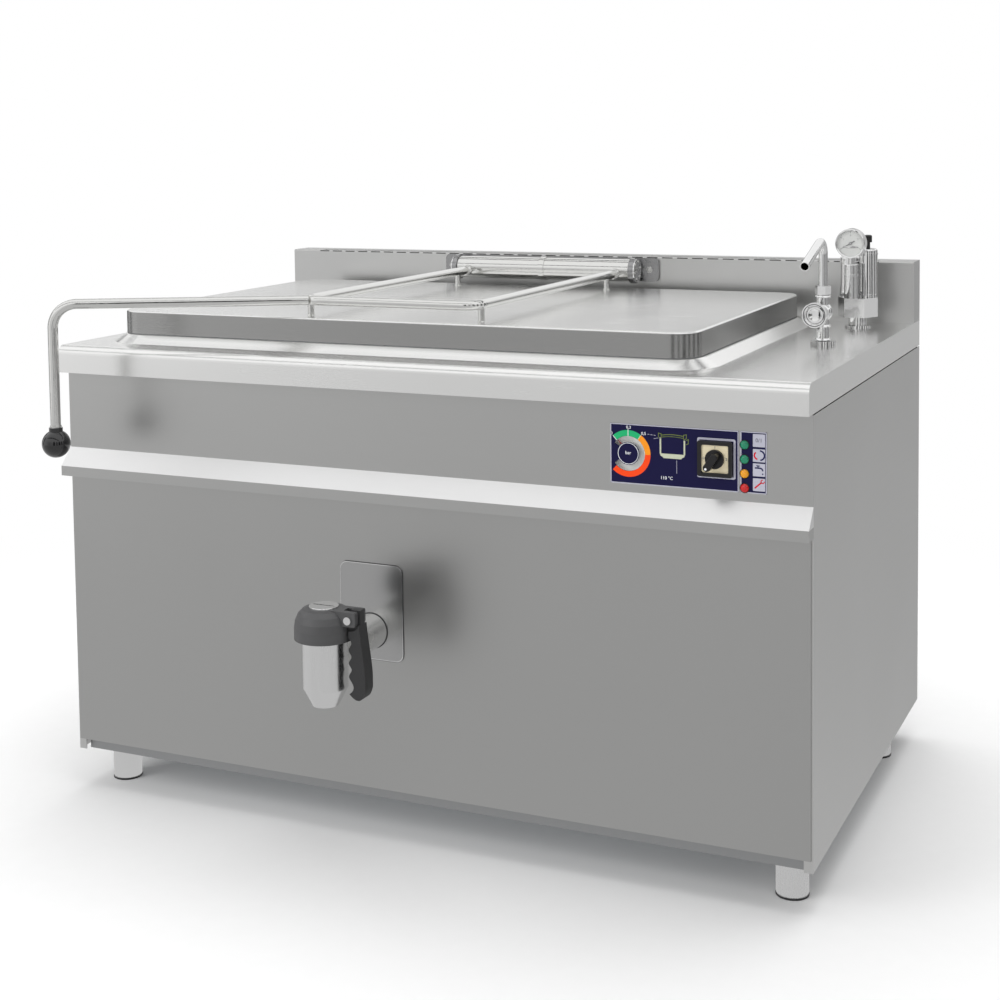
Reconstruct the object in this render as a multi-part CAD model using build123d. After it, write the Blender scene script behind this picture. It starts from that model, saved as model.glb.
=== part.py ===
"""Rectangular steam jacketed kettle on a floor cabinet: all sub-parts, in millimetres.

X runs to the right, Y to the back and Z up. The origin is on the floor, under the
middle of the cabinet. All moving pieces stand in their rest position: the lid shut,
the feet screwed right in, the drain shut and every pointer at zero.
"""

import os
from math import cos, radians, sin

from build123d import *

# Cabinet
top_width = 1400.0
top_depth = 900.0
worktop_height = 840.0
top_sheet = 2.0
panel_sheet = 1.5
apron_height = 50.0
apron_radius = 16.0
reveal = 2.0
side_setback = 30.0
flange_width = 15.0
rear_recess = 12.0

# Feet
foot_radius = 26.5
foot_height = 72.0
foot_round = 6.0
foot_inset_side = 52.0
foot_inset_front = 105.0
foot_inset_rear = 140.0
spindle_radius = 10.0
spindle_reach = 60.0
spindle_chamfer = 2.0
boss_wall = 8.0
boss_height = 64.0
running_gap = 0.06
resting_gap = 0.3

# Base and support frame
base_rise = 40.0
base_sheet = 3.0
base_member = 40.0
base_inset_side = 17.0
base_inset_front = 40.0
base_inset_rear = 15.0
gusset_size = 100.0
post_width = 30.0
rail_rise = 30.0
cradle_spread = 190.0

# Front
strip_rise = 20.0
front_proud = 4.0
front_reveal = 3.0
slope_drop = 143.0
fold_drop = 174.0
lip_drop = 192.0
lip_return = 22.0
lip_gap = 2.0

# Rear upstand
upstand_height = 120.0
upstand_depth = 62.0
upstand_round = 3.0
vent_margin = 70.0
vent_opening_depth = 16.0
vent_front_wall = 8.0
slot_pitch = 20.0
slot_length = 15.0
slot_width = 6.0
grille_lap = 6.0

# Basin, jacket and rim
deck_left = 70.5
deck_right = 202.5
deck_front = 76.0
deck_rear = 114.0
basin_margin_side = 43.5
basin_margin_front = 45.0
basin_corner = 70.0
basin_floor_round = 30.0
basin_flange = 12.0
vessel_sheet = 2.0
rim_rise = 16.0
rim_corner = 56.0
rim_slope = 26.0
rim_blend = 7.0
jacket_gap = 28.0
jacket_sheet = 2.0
jacket_sump = 58.0
jacket_head = 10.0
insulation_thickness = 25.0

# Heating elements
element_radius = 5.0
element_end_gap = 340.0
element_half_gap = 12.0
element_pitch = 13.0
element_spread = 11.0
element_drop = 32.0
element_flange_radius = 40.0
element_flange_thickness = 8.0
element_neck_radius = 26.0
element_terminal = 16.0

# Lid
lid_inset = 4.0
lid_corner = 45.0
lid_height = 42.0
lid_sheet = 1.5
lid_edge_round = 4.0
lid_gap = 1.0
gasket_width = 12.0
gasket_height = 12.0
skin_drop = 22.0
skin_sheet = 1.2
skin_lip = 12.0

# Hinge
hinge_back = 33.0
hinge_rise = 34.0
hinge_tube_radius = 23.0
hinge_tube_wall = 3.0
hinge_tube_length = 390.0
hinge_bearing = 14.0
hinge_collar_radius = 25.0
hinge_collar_length = 12.0
hinge_shaft_radius = 10.0
hinge_lug_thickness = 10.0
hinge_lug_radius = 26.5
hinge_lug_gap = 0.5
hinge_cap_radius = 24.0
hinge_cap_thickness = 3.0
hinge_web_height = 36.0
hinge_plate_length = 490.0
hinge_plate_height = 49.0
hinge_plate_thickness = 6.0
hinge_plate_corner = 10.0

# Lid frame and lever
frame_tube_radius = 9.0
frame_tube_wall = 1.5
frame_half_width = 168.0
frame_setback = 23.0
frame_bend = 30.0
frame_lift = 20.0
standoff_radius = 6.0
standoff_front = 22.0
standoff_rear = 52.0
lever_side = 1.3
lever_front = 181.7
lever_bend = 42.0
lever_drop = 248.0
knob_radius = 25.0
knob_neck_radius = 12.0
knob_neck_length = 4.0

# Water tap
tap_inset = 88.0
tap_back = 27.0
tap_flange_radius = 22.0
tap_flange_height = 8.0
tap_flange_lobes = 8
tap_flange_scallop = 1.6
tap_column_radius = 11.0
tap_chamber_height = 59.0
tap_chamber_radius = 17.0
tap_neck_height = 90.0
nut_radius = 14.0
nut_height = 15.0
tap_shank_radius = 10.0
tap_shank_length = 40.0
tap_hole_gap = 1.0
spout_radius = 8.0
spout_wall = 1.2
spout_top = 190.0
spout_reach = 133.0
spout_drop = 41.0
spout_bend = 22.0
bonnet_reach = 40.0
bonnet_radius = 12.0
bonnet_bore_depth = 24.0
wheel_offset = 66.0
wheel_radius = 22.0
wheel_depth = 12.0
wheel_stem_radius = 5.0
wheel_lobes = 6
wheel_scallop = 1.2
wheel_rim = 4.0
wheel_dish_slope = 4.0
supply_pipe_radius = 8.0
supply_bend = 30.0

# Safety group
safety_inset = 89.0
safety_rear_inset = 154.0
safety_flange_radius = 25.0
safety_flange_height = 4.0
safety_stub_radius = 17.5
safety_stub_height = 17.0
manifold_across_flats = 66.0
manifold_height = 37.0
siphon_offset_x = -7.0
siphon_offset_y = -26.0
siphon_radius = 13.5
siphon_height = 66.0
siphon_round = 3.0
valve_offset_x = 17.0
valve_offset_y = 10.0
valve_radius = 18.0
valve_height = 93.0
valve_round = 5.0
breaker_offset_x = -19.0
breaker_offset_y = 9.0
breaker_radius = 17.0
breaker_height = 78.0
lift_stem_radius = 4.0
lift_stem_height = 12.0
lift_knob_radius = 7.5
lift_knob_height = 14.0
lift_knob_round = 3.0
lift_socket_depth = 16.0
steam_pipe_radius = 11.0
steam_pipe_drop = 40.0
steam_pipe_offset = 106.0
steam_bend = 30.0

# Pressure gauge on the siphon
gauge_radius = 28.0
gauge_depth = 24.0
gauge_rise = 39.0
gauge_wall = 2.5
gauge_round = 3.0
gauge_dial_depth = 5.0
gauge_stem_radius = 6.0
lens_thickness = 1.5
needle_length = 20.0
needle_tail = 9.0
needle_width = 2.4
needle_tip = 0.6
needle_thickness = 0.8
needle_rest = 240.0
needle_hub_radius = 3.0
dial_pin_radius = 1.2

# Control panel
control_inset = 222.5
control_drop = 81.0
control_width = 211.0
control_height = 96.0
control_thickness = 1.0
control_margin = 3.0
lamp_plate_width = 41.5
lamp_inset = 107.5
lamp_drop = 54.0
lamp_pitch = 22.5
lamp_radius = 7.0
lamp_dome = 4.0
lamp_body_radius = 6.0
lamp_body_depth = 22.0
dial_inset = 298.0
dial_drop = 80.5
dial_window_outer = 28.0
dial_window_inner = 18.5
dial_window_gap = 90.0
dial_case_radius = 30.0
dial_case_depth = 14.0
dial_case_wall = 1.5
dial_well_depth = 8.0
dial_pin_start = 4.0
pointer_width = 2.5
pointer_thickness = 0.8
pointer_length = 27.7
pointer_tail = 4.0
pointer_rest = -45.0
pointer_hub_radius = 4.0
switch_inset = 154.0
switch_drop = 79.0
switch_frame = 56.0
switch_frame_depth = 6.0
switch_frame_corner = 3.0
switch_body_size = 44.0
switch_body_depth = 46.0
knob_base_radius = 15.0
knob_base_depth = 5.0
knob_grip_depth = 16.0
knob_grip_width = 12.0
knob_grip_length = 32.0
knob_grip_lead = 3.5
knob_round = 2.0
knob_shaft_radius = 3.0
knob_shaft_depth = 14.0
knob_rest = 215.0

# Electrical plate
electric_length = 190.0
electric_rise = 188.0
electric_height = 260.0
contactor_count = 3
contactor_width = 45.0
contactor_height = 80.0
contactor_depth = 40.0
contactor_step = 12.0
contactor_gap = 8.0
terminal_height = 40.0
terminal_depth = 30.0

# Drain valve
drain_rise = 27.0
drain_pipe_radius = 30.25
drain_pipe_wall = 3.0
drain_reach = 163.0
drain_plate_width = 121.0
drain_plate_height = 167.0
drain_plate_corner = 12.0
drain_plate_thickness = 2.0
drain_plate_rise = 33.0
drain_cutout_margin = 12.0
body_radius = 38.0
body_wall = 4.0
body_top = 41.0
body_taper_start = -48.0
body_bottom = -78.0
outlet_radius = 20.0
outlet_land = 8.0
bonnet_thickness = 6.0
seat_height = -30.0
seat_thickness = 5.0
seat_bore = 17.0
disc_radius = 19.6
disc_thickness = 8.0
disc_bevel = 3.0
cap_radius = 49.0
cap_bottom = 33.0
cap_skirt = 18.0
cap_top = 84.0
cap_flat_radius = 27.0
cap_wall = 5.0
plug_radius = 24.5
plug_height = 5.0
plug_round = 1.0
plug_slot = 3.0
plug_slot_length = 39.0
fork_width = 36.0
fork_slot = 14.6
fork_low = 60.5
fork_end = 13.0
fork_end_round = 3.0
pin_offset = 54.0
pin_height = 71.0
pin_radius = 4.0
pin_head_radius = 6.5
pin_head_length = 3.0
lever_head_radius = 10.0
lever_head_width = 14.0
lever_clear_radius = 19.0
lever_arm_radius = 5.5
lever_nose_length = 45.0
lever_nose_radius = 3.7
lever_nose_rest = 4.0
grip_width = 26.0
grip_top = 15.0
grip_bottom = -131.0
grip_head_reach = 17.0
grip_reach = 27.5
grip_inner = -2.0
grip_toe = 18.0
grip_wave = 5.0
grip_wave_pitch = 21.0
grip_waves = 4
stem_radius = 4.0
stem_collar_radius = 14.0
stem_collar_thickness = 3.0
stem_groove = 10.4

# Rear services
inlet_inset = 60.0
service_rise = 58.0
inlet_radius = 10.5
inlet_length = 10.0
inlet_neck_radius = 9.0
gland_inset = 140.0
gland_bore = 7.0
gland_nut_radius = 14.0
gland_dome_radius = 11.0
gland_core_radius = 10.0
gland_chamfer = 2.0
gland_length = 11.0
gland_tail = 12.0

# Places worked out from the sizes
half_width = top_width / 2
front_edge = -top_depth / 2
rear_edge = top_depth / 2
sheet_under = worktop_height - top_sheet
apron_bottom = worktop_height - apron_height
cabinet_front = front_edge + side_setback
panel_top = apron_bottom - reveal
fascia_slope_top = apron_bottom - slope_drop
fold_height = apron_bottom - fold_drop
lip_height = apron_bottom - lip_drop
front_low = foot_height + strip_rise
front_high = lip_height - lip_gap
base_bottom = foot_height
base_top = base_bottom + base_rise
base_half = half_width - base_inset_side
base_front = front_edge + base_inset_front
base_rear = rear_edge - base_inset_rear
rear_face = rear_edge - rear_recess
upstand_face = rear_edge - upstand_depth
upstand_top = worktop_height + upstand_height

rim_width = top_width - deck_left - deck_right
rim_depth = top_depth - deck_front - deck_rear
rim_top = worktop_height + rim_rise
basin_x = -half_width + deck_left + rim_width / 2
basin_y = front_edge + deck_front + rim_depth / 2
basin_width = rim_width - 2 * basin_margin_side
basin_depth = rim_depth - 2 * basin_margin_front
basin_floor = (front_low + front_high) / 2
jacket_floor = basin_floor - vessel_sheet - jacket_sump
jacket_top = apron_bottom - jacket_head
wrap_floor = jacket_floor - jacket_sheet - insulation_thickness
wrap_reach = jacket_gap + jacket_sheet + insulation_thickness
element_length = basin_width - element_end_gap
element_height = basin_floor - element_drop

lid_width = rim_width - 2 * lid_inset
lid_depth = rim_depth - 2 * lid_inset
lid_bottom = rim_top + lid_gap
lid_top = lid_bottom + lid_height
lid_left = basin_x - lid_width / 2
lid_front = basin_y - lid_depth / 2
lid_rear = basin_y + lid_depth / 2
hinge_y = upstand_face - hinge_back
hinge_z = lid_top + hinge_rise
frame_z = lid_top + frame_lift + frame_tube_radius
frame_front = lid_front + frame_setback
knob_height = frame_z - lever_drop

tap_x = half_width - tap_inset
tap_y = basin_y + tap_back
safety_x = half_width - safety_inset
safety_y = rear_edge - safety_rear_inset
steam_pipe_y = safety_y - steam_pipe_offset
steam_pipe_height = jacket_top - steam_pipe_drop
manifold_base = worktop_height + safety_flange_height + safety_stub_height
manifold_top = manifold_base + manifold_height
gauge_z = manifold_top + siphon_height + gauge_rise

panel_face = cabinet_front - front_proud
fascia_face = cabinet_front - panel_sheet
control_x = half_width - control_inset
control_z = apron_bottom - control_drop
lamp_x = half_width - lamp_inset
lamp_top = apron_bottom - lamp_drop
dial_x = half_width - dial_inset
dial_z = apron_bottom - dial_drop
switch_x = half_width - switch_inset
switch_z = apron_bottom - switch_drop
electric_base = base_top + electric_rise

drain_height = basin_floor + drain_rise
valve_y = panel_face - drain_reach + drain_plate_thickness
pin_x = basin_x + pin_offset
pin_z = drain_height + pin_height
inlet_x = half_width - inlet_inset
gland_x = half_width - gland_inset
service_z = base_top + service_rise


def block(x0, x1, y0, y1, z0, z1):
    """Box between two corners."""
    middle = Pos((x0 + x1) / 2, (y0 + y1) / 2, (z0 + z1) / 2)
    return middle * Box(x1 - x0, y1 - y0, z1 - z0)


def upright(radius, x, y, z0, z1):
    """Round bar standing on end."""
    return Pos(x, y, (z0 + z1) / 2) * Cylinder(radius, z1 - z0)


def lying_x(radius, x0, x1, y, z):
    """Round bar along X."""
    return Pos((x0 + x1) / 2, y, z) * Rot(0, 90, 0) * Cylinder(radius, x1 - x0)


def lying_y(radius, x, y0, y1, z):
    """Round bar along Y."""
    return Pos(x, (y0 + y1) / 2, z) * Rot(90, 0, 0) * Cylinder(radius, y1 - y0)


def rounded(width, depth, corner, x, y, z0, z1):
    """Upright block with rounded corners in plan."""
    return extrude(Pos(x, y, z0) * RectangleRounded(width, depth, corner), z1 - z0)


def basin_block(grow, z0, z1):
    """Plan of the basin, grown all round, as a block."""
    return rounded(basin_width + 2 * grow, basin_depth + 2 * grow, basin_corner + grow,
                   basin_x, basin_y, z0, z1)


def lid_block(shrink, z0, z1):
    """Plan of the lid, shrunk all round, as a block."""
    return rounded(lid_width - 2 * shrink, lid_depth - 2 * shrink, lid_corner - shrink,
                   basin_x, basin_y, z0, z1)


def facing_front(sketch, x, y, z, depth):
    """Flat outline set upright, facing the front, and given depth towards the back."""
    return extrude(Plane(origin=(x, y, z), x_dir=(1, 0, 0), z_dir=(0, -1, 0)) * sketch, -depth)


def pipe(points, bend, radius, wall=0.0):
    """Round tube along straight runs with bends. Without a wall it is a solid bar."""
    route = FilletPolyline(*points, radius=bend)
    start = Plane(route @ 0, z_dir=route % 0)
    tube = sweep(start * Circle(radius), path=route)
    if wall:
        tube -= sweep(start * Circle(radius - wall), path=route)
    return tube


def folded(points, sheet):
    """Section of a folded sheet: the line, thickened to the left of its direction."""
    return make_face(offset(Polyline(*points), sheet, kind=Kind.INTERSECTION, side=Side.LEFT))


def along_x(section, x0, x1):
    """Section drawn in Y and Z, run along X."""
    return extrude(Plane(origin=(x0, 0, 0), x_dir=(0, 1, 0), z_dir=(1, 0, 0)) * section, x1 - x0)


def turned_z(points, x, y):
    """Round piece on an upright axis, from radius and height points."""
    outline = Plane.XZ * make_face(Polyline(*points, close=True))
    return Pos(x, y, 0) * revolve(outline, Axis.Z)


def turned_y(points, x, z):
    """Round piece on an axis along Y, from radius and Y points."""
    outline = make_face(Polyline(*points, close=True))
    return Pos(x, 0, z) * revolve(outline, Axis.Y)


def dome_points(edge, flat, start, end, steps=4):
    """Outline of a dome from its edge in to its flat top, as radius and height points."""
    turns = [radians(90 * step / steps) for step in range(steps + 1)]
    return [(flat + (edge - flat) * cos(turn), start + (end - start) * sin(turn)) for turn in turns]


def foot(x, y):
    """Levelling foot: closed sleeve with its threaded spindle."""
    sleeve = upright(foot_radius, x, y, 0, foot_height)
    sleeve = fillet(sleeve.edges().sort_by(Axis.Z)[0], foot_round)
    spindle = upright(spindle_radius, x, y, foot_height, foot_height + spindle_reach)
    return sleeve + chamfer(spindle.edges().sort_by(Axis.Z)[-1], spindle_chamfer)


def foot_places():
    """Name and centre of each foot."""
    x = half_width - foot_inset_side
    front, rear = front_edge + foot_inset_front, rear_edge - foot_inset_rear
    return {"foot_front_left": (-x, front), "foot_front_right": (x, front),
            "foot_rear_left": (-x, rear), "foot_rear_right": (x, rear)}


def base_frame():
    """Welded ring of channel with cross members and a threaded boss over each foot."""
    ring = block(-base_half, base_half, base_front, base_rear, base_bottom, base_top)
    ring -= block(-base_half + base_sheet, base_half - base_sheet, base_front + base_sheet,
                  base_rear - base_sheet, base_bottom + base_sheet, base_top - base_sheet)
    ring -= block(-base_half + base_member, base_half - base_member, base_front + base_member,
                  base_rear - base_member, base_bottom, base_top)
    for x, y in foot_places().values():
        outer = base_half if x > 0 else -base_half
        inner = outer - gusset_size if x > 0 else outer + gusset_size
        ring += block(min(outer, inner), max(outer, inner), y - gusset_size / 2,
                      y + gusset_size / 2, base_bottom, base_bottom + base_sheet)
        ring += upright(spindle_radius + boss_wall, x, y, base_bottom, base_bottom + boss_height)
        ring -= upright(spindle_radius + running_gap, x, y, base_bottom, base_bottom + boss_height)
    for y in (-cradle_spread, cradle_spread):
        ring += block(-base_half + base_sheet, base_half - base_sheet, y - base_member / 2,
                      y + base_member / 2, base_top - base_sheet, base_top)
    return ring


def post_corners():
    """Outer corner of each post, with the way its legs run."""
    return [(sx * base_half, y, -sx, -sy) for sx in (-1, 1)
            for sy, y in ((-1, base_front), (1, base_rear))]


def angle_span(start, way, width):
    """Low and high end of a width that runs from a start in one direction."""
    return min(start, start + way * width), max(start, start + way * width)


def support_frame():
    """Four angle posts, the ring under the worktop and the cradle under the jacket."""
    frame = block(-base_half, base_half, base_front, base_rear, sheet_under - rail_rise, sheet_under)
    frame -= block(-base_half + base_sheet, base_half - base_sheet, base_front + base_sheet,
                   base_rear - base_sheet, sheet_under - rail_rise, sheet_under - base_sheet)
    frame -= block(-base_half + post_width, base_half - post_width, base_front + base_sheet,
                   base_rear - base_sheet, sheet_under - rail_rise, sheet_under)
    for x, y, way_x, way_y in post_corners():
        thin_x, wide_x = angle_span(x, way_x, base_sheet), angle_span(x, way_x, post_width)
        thin_y, wide_y = angle_span(y, way_y, base_sheet), angle_span(y, way_y, post_width)
        frame += block(*thin_x, *wide_y, base_top, sheet_under - base_sheet)
        frame += block(*wide_x, *thin_y, base_top, sheet_under - base_sheet)
    for side in (-1, 1):
        rail = angle_span(side * base_half, -side, base_sheet)
        frame += block(*rail, base_front, base_rear, wrap_floor - rail_rise, wrap_floor)
        y = side * cradle_spread
        frame += block(-base_half, base_half, y - post_width / 2, y + post_width / 2,
                       wrap_floor - base_sheet, wrap_floor)
        frame += block(-base_half, base_half, y - base_sheet / 2, y + base_sheet / 2,
                       wrap_floor - rail_rise, wrap_floor)
    return frame


def side_panel(side):
    """Side sheet with a folded flange at the front and at the back."""
    face = angle_span(side * half_width, -side, panel_sheet)
    flange = angle_span(side * half_width, -side, flange_width)
    panel = block(*face, cabinet_front, rear_edge, foot_height, panel_top)
    panel += block(*flange, cabinet_front, cabinet_front + panel_sheet, foot_height, panel_top)
    panel += block(*flange, rear_face - 2 * panel_sheet, rear_face - panel_sheet, foot_height, panel_top)
    return panel


def rear_panel():
    """Screwed-on rear sheet with the holes for the water inlet and the cable gland."""
    edge = half_width - front_reveal
    panel = block(-edge, edge, rear_face - panel_sheet, rear_face, foot_height, apron_bottom)
    panel -= lying_y(inlet_neck_radius, inlet_x, rear_face - panel_sheet, rear_face, service_z)
    return panel - lying_y(gland_core_radius, gland_x, rear_face - panel_sheet, rear_face, service_z)


def bottom_tray():
    """Sheet that closes the cabinet from below, notched round the posts."""
    tray = block(-base_half, base_half, base_front, base_rear, base_top, base_top + panel_sheet)
    for x, y, way_x, way_y in post_corners():
        tray -= block(*angle_span(x, way_x, post_width), *angle_span(y, way_y, post_width),
                      base_top, base_top + panel_sheet)
    for x, y in foot_places().values():
        tray -= upright(spindle_radius + boss_wall, x, y, base_top, base_top + panel_sheet)
    return tray


def front_panel():
    """Large lower front sheet with hemmed edges and a cut-out behind the drain plate."""
    edge = half_width - front_reveal
    panel = block(-edge, edge, panel_face, cabinet_front, front_low, front_high)
    panel = fillet(panel.faces().sort_by(Axis.Y)[0].edges(), panel_sheet)
    panel -= block(-edge + panel_sheet, edge - panel_sheet, panel_face + panel_sheet, cabinet_front,
                   front_low + panel_sheet, front_high - panel_sheet)
    half = drain_plate_width / 2 - drain_cutout_margin
    tall = drain_plate_height / 2 - drain_cutout_margin
    middle = drain_height + drain_plate_rise
    return panel - block(basin_x - half, basin_x + half, panel_face, cabinet_front,
                         middle - tall, middle + tall)


def control_fascia():
    """Folded upper front: upright face, slope, lip and the return under the lip."""
    line = [(fascia_face, panel_top), (fascia_face, fascia_slope_top), (front_edge, fold_height),
            (front_edge, lip_height), (front_edge + lip_return, lip_height)]
    fascia = along_x(folded(line, panel_sheet), -half_width, half_width)
    cheek = make_face(Polyline(*line, (cabinet_front, lip_height), (cabinet_front, panel_top), close=True))
    for side in (-1, 1):
        fascia += along_x(cheek, *angle_span(side * half_width, -side, panel_sheet))
    fascia -= facing_front(Circle(dial_case_radius), dial_x, fascia_face, dial_z, panel_sheet)
    fascia -= facing_front(Rectangle(switch_body_size, switch_body_size), switch_x, fascia_face,
                           switch_z, panel_sheet)
    for z in lamp_heights():
        fascia -= lying_y(lamp_body_radius, lamp_x, fascia_face, cabinet_front, z)
    return fascia


def rim_loft(shrink):
    """Raised swelling of the worktop round the basin, shrunk for its inside."""
    low = Pos(basin_x, basin_y, sheet_under) * RectangleRounded(
        rim_width + 2 * (rim_slope - shrink), rim_depth + 2 * (rim_slope - shrink),
        rim_corner + rim_slope - shrink)
    high = Pos(basin_x, basin_y, rim_top - shrink) * RectangleRounded(
        rim_width - 2 * shrink, rim_depth - 2 * shrink, rim_corner - shrink)
    return loft([low, high], ruled=True)


def worktop():
    """Pressed top: rounded front edge, aprons all round and the raised rim."""
    top = block(-half_width, half_width, front_edge, rear_edge, apron_bottom, worktop_height)
    front = top.edges().filter_by(Axis.X).sort_by(Axis.Z)[-2:].sort_by(Axis.Y)[0]
    top = fillet(front, apron_radius)
    hollow = block(-half_width + top_sheet, half_width - top_sheet, front_edge + top_sheet,
                   rear_edge - top_sheet, apron_bottom, sheet_under)
    edge = hollow.edges().filter_by(Axis.X).sort_by(Axis.Z)[-2:].sort_by(Axis.Y)[0]
    top -= fillet(edge, apron_radius - top_sheet)
    top += block(-half_width + top_sheet, half_width - top_sheet, front_edge + top_sheet,
                 fascia_face - reveal, apron_bottom, apron_bottom + top_sheet)
    swell = rim_loft(0)
    swell = fillet(swell.faces().sort_by(Axis.Z)[-1].edges(), rim_blend)
    top += swell
    foot_line = top.edges().filter_by_position(Axis.Z, worktop_height - resting_gap,
                                               worktop_height + resting_gap)
    reach_x, reach_y = rim_width / 2 + rim_slope + reveal, rim_depth / 2 + rim_slope + reveal
    foot_line = foot_line.filter_by_position(Axis.X, basin_x - reach_x, basin_x + reach_x)
    foot_line = foot_line.filter_by_position(Axis.Y, basin_y - reach_y, basin_y + reach_y)
    top = fillet(foot_line, rim_blend)
    top -= rim_loft(top_sheet)
    top -= basin_block(0, sheet_under, rim_top)
    top -= vent_space(worktop_height)
    top -= upright(tap_shank_radius + tap_hole_gap, tap_x, tap_y, sheet_under, worktop_height)
    return top - upright(steam_pipe_radius + tap_hole_gap, safety_x, safety_y, sheet_under, worktop_height)


def vent_space(top):
    """Block that opens the worktop or the upstand for the warm air."""
    side = half_width - vent_margin
    front = upstand_face + vent_front_wall
    return block(-side, side, front, front + vent_opening_depth, sheet_under, top)


def backsplash():
    """Hollow rear upstand with closed ends, open below and above the grille."""
    box = block(-half_width, half_width, upstand_face, rear_edge, worktop_height, upstand_top)
    edge = box.edges().filter_by(Axis.X).sort_by(Axis.Z)[-2:].sort_by(Axis.Y)[0]
    box = fillet(edge, upstand_round)
    box -= block(-half_width + top_sheet, half_width - top_sheet, upstand_face + top_sheet,
                 rear_edge - top_sheet, worktop_height, upstand_top - top_sheet)
    return box - vent_space(upstand_top)


def vent_grille():
    """Strip with a row of round-ended slots, under the opening of the upstand."""
    side = half_width - vent_margin
    front = upstand_face + vent_front_wall
    z = upstand_top - top_sheet
    strip = block(-side - grille_lap, side + grille_lap, front - grille_lap,
                  front + vent_opening_depth + grille_lap, z - panel_sheet, z)
    count = int((2 * side - slot_pitch) // slot_pitch)
    slots = Sketch() + [place * SlotOverall(slot_length, slot_width)
                        for place in GridLocations(slot_pitch, 0, count, 1)]
    return strip - extrude(Pos(0, front + vent_opening_depth / 2, z - panel_sheet) * slots, panel_sheet)


def tub(outer, inner, floor, floor_sheet, top, outer_round, inner_round):
    """Open tub of basin plan: grown outside and inside, with rounded floor edges."""
    shell = basin_block(outer, floor, top)
    shell = fillet(shell.faces().sort_by(Axis.Z)[0].edges(), outer_round)
    hollow = basin_block(inner, floor + floor_sheet, top)
    return shell - fillet(hollow.faces().sort_by(Axis.Z)[0].edges(), inner_round)


def inner_vessel():
    """Basin for the food, with the flange that is welded under the rim."""
    vessel = tub(vessel_sheet, 0, basin_floor - vessel_sheet, vessel_sheet, rim_top - top_sheet,
                 basin_floor_round + vessel_sheet, basin_floor_round)
    flange = basin_block(basin_flange, rim_top - 2 * top_sheet, rim_top - top_sheet)
    vessel += flange - basin_block(0, rim_top - 2 * top_sheet, rim_top - top_sheet)
    bore = drain_pipe_radius - drain_pipe_wall
    return vessel - lying_y(bore, basin_x, vessel_front() - vessel_sheet, basin_y, drain_height)


def vessel_front():
    """Front face of the basin wall."""
    return basin_y - basin_depth / 2 - vessel_sheet


def steam_jacket():
    """Outer steam wall round the basin, with its closing ring at the top."""
    outer = vessel_sheet + jacket_gap + jacket_sheet
    jacket = tub(outer, outer - jacket_sheet, jacket_floor - jacket_sheet, jacket_sheet, jacket_top,
                 basin_floor_round, basin_floor_round - jacket_sheet)
    jacket += basin_block(outer, jacket_top - jacket_sheet, jacket_top)
    jacket -= basin_block(vessel_sheet, jacket_top - jacket_sheet, jacket_top)
    jacket -= lying_y(drain_pipe_radius, basin_x, panel_face, vessel_front(), drain_height)
    jacket -= lying_x(element_neck_radius, basin_x, half_width, basin_y, element_height)
    return jacket - lying_x(steam_pipe_radius, basin_x, safety_x, steam_pipe_y, steam_pipe_height)


def insulation():
    """Blanket round the jacket, open where pipes and heaters pass."""
    outer = vessel_sheet + wrap_reach
    inner = outer - insulation_thickness
    wrap = tub(outer, inner, wrap_floor, insulation_thickness, jacket_top,
               basin_floor_round + jacket_sheet, basin_floor_round)
    wrap -= lying_y(drain_pipe_radius, basin_x, panel_face, vessel_front(), drain_height)
    wrap -= lying_x(element_flange_radius, basin_x, half_width, basin_y, element_height)
    return wrap - lying_x(steam_pipe_radius, basin_x, safety_x, steam_pipe_y, steam_pipe_height)


def heating_elements():
    """Three hairpins on a round flange, in the sump under the basin."""
    wall = basin_x + basin_width / 2 + vessel_sheet + jacket_gap + jacket_sheet
    heater = lying_x(element_flange_radius, wall, wall + element_flange_thickness, basin_y, element_height)
    heater += lying_x(element_neck_radius, wall - jacket_sheet, wall, basin_y, element_height)
    for level in (-1, 0, 1):
        z = element_height + level * element_pitch
        ends = [(wall - jacket_sheet, basin_y + way * element_half_gap, z) for way in (-1, 1)]
        far = [(x - element_length, y, z) for x, y, z in ends]
        heater += pipe([ends[0], far[0], far[1], ends[1]], element_spread, element_radius)
        for _, y, _ in ends:
            outside = wall + element_flange_thickness
            heater += lying_x(element_radius / 2, outside, outside + element_terminal, y, z)
    return heater


def lid_shell():
    """Shallow tray with rounded corners, open below."""
    shell = lid_block(0, lid_bottom, lid_top)
    shell = fillet(shell.faces().sort_by(Axis.Z)[-1].edges(), lid_edge_round)
    hollow = lid_block(lid_sheet, lid_bottom, lid_top - lid_sheet)
    return shell - fillet(hollow.faces().sort_by(Axis.Z)[-1].edges(), lid_edge_round - lid_sheet)


def lid_inner_skin():
    """Pan that closes the lid's insulated space from below."""
    level = lid_top - skin_drop
    skin = lid_block(lid_sheet, level, level + skin_lip)
    return skin - lid_block(lid_sheet + skin_sheet, level + skin_sheet, level + skin_lip)


def lid_gasket():
    """Seal inside the skirt, resting on the rim."""
    ring = lid_block(lid_sheet, rim_top, rim_top + gasket_height)
    return ring - lid_block(lid_sheet + gasket_width, rim_top, rim_top + gasket_height)


def hinge_ends():
    """X of the left and right end of the hinge tube."""
    return basin_x - hinge_tube_length / 2, basin_x + hinge_tube_length / 2


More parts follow.
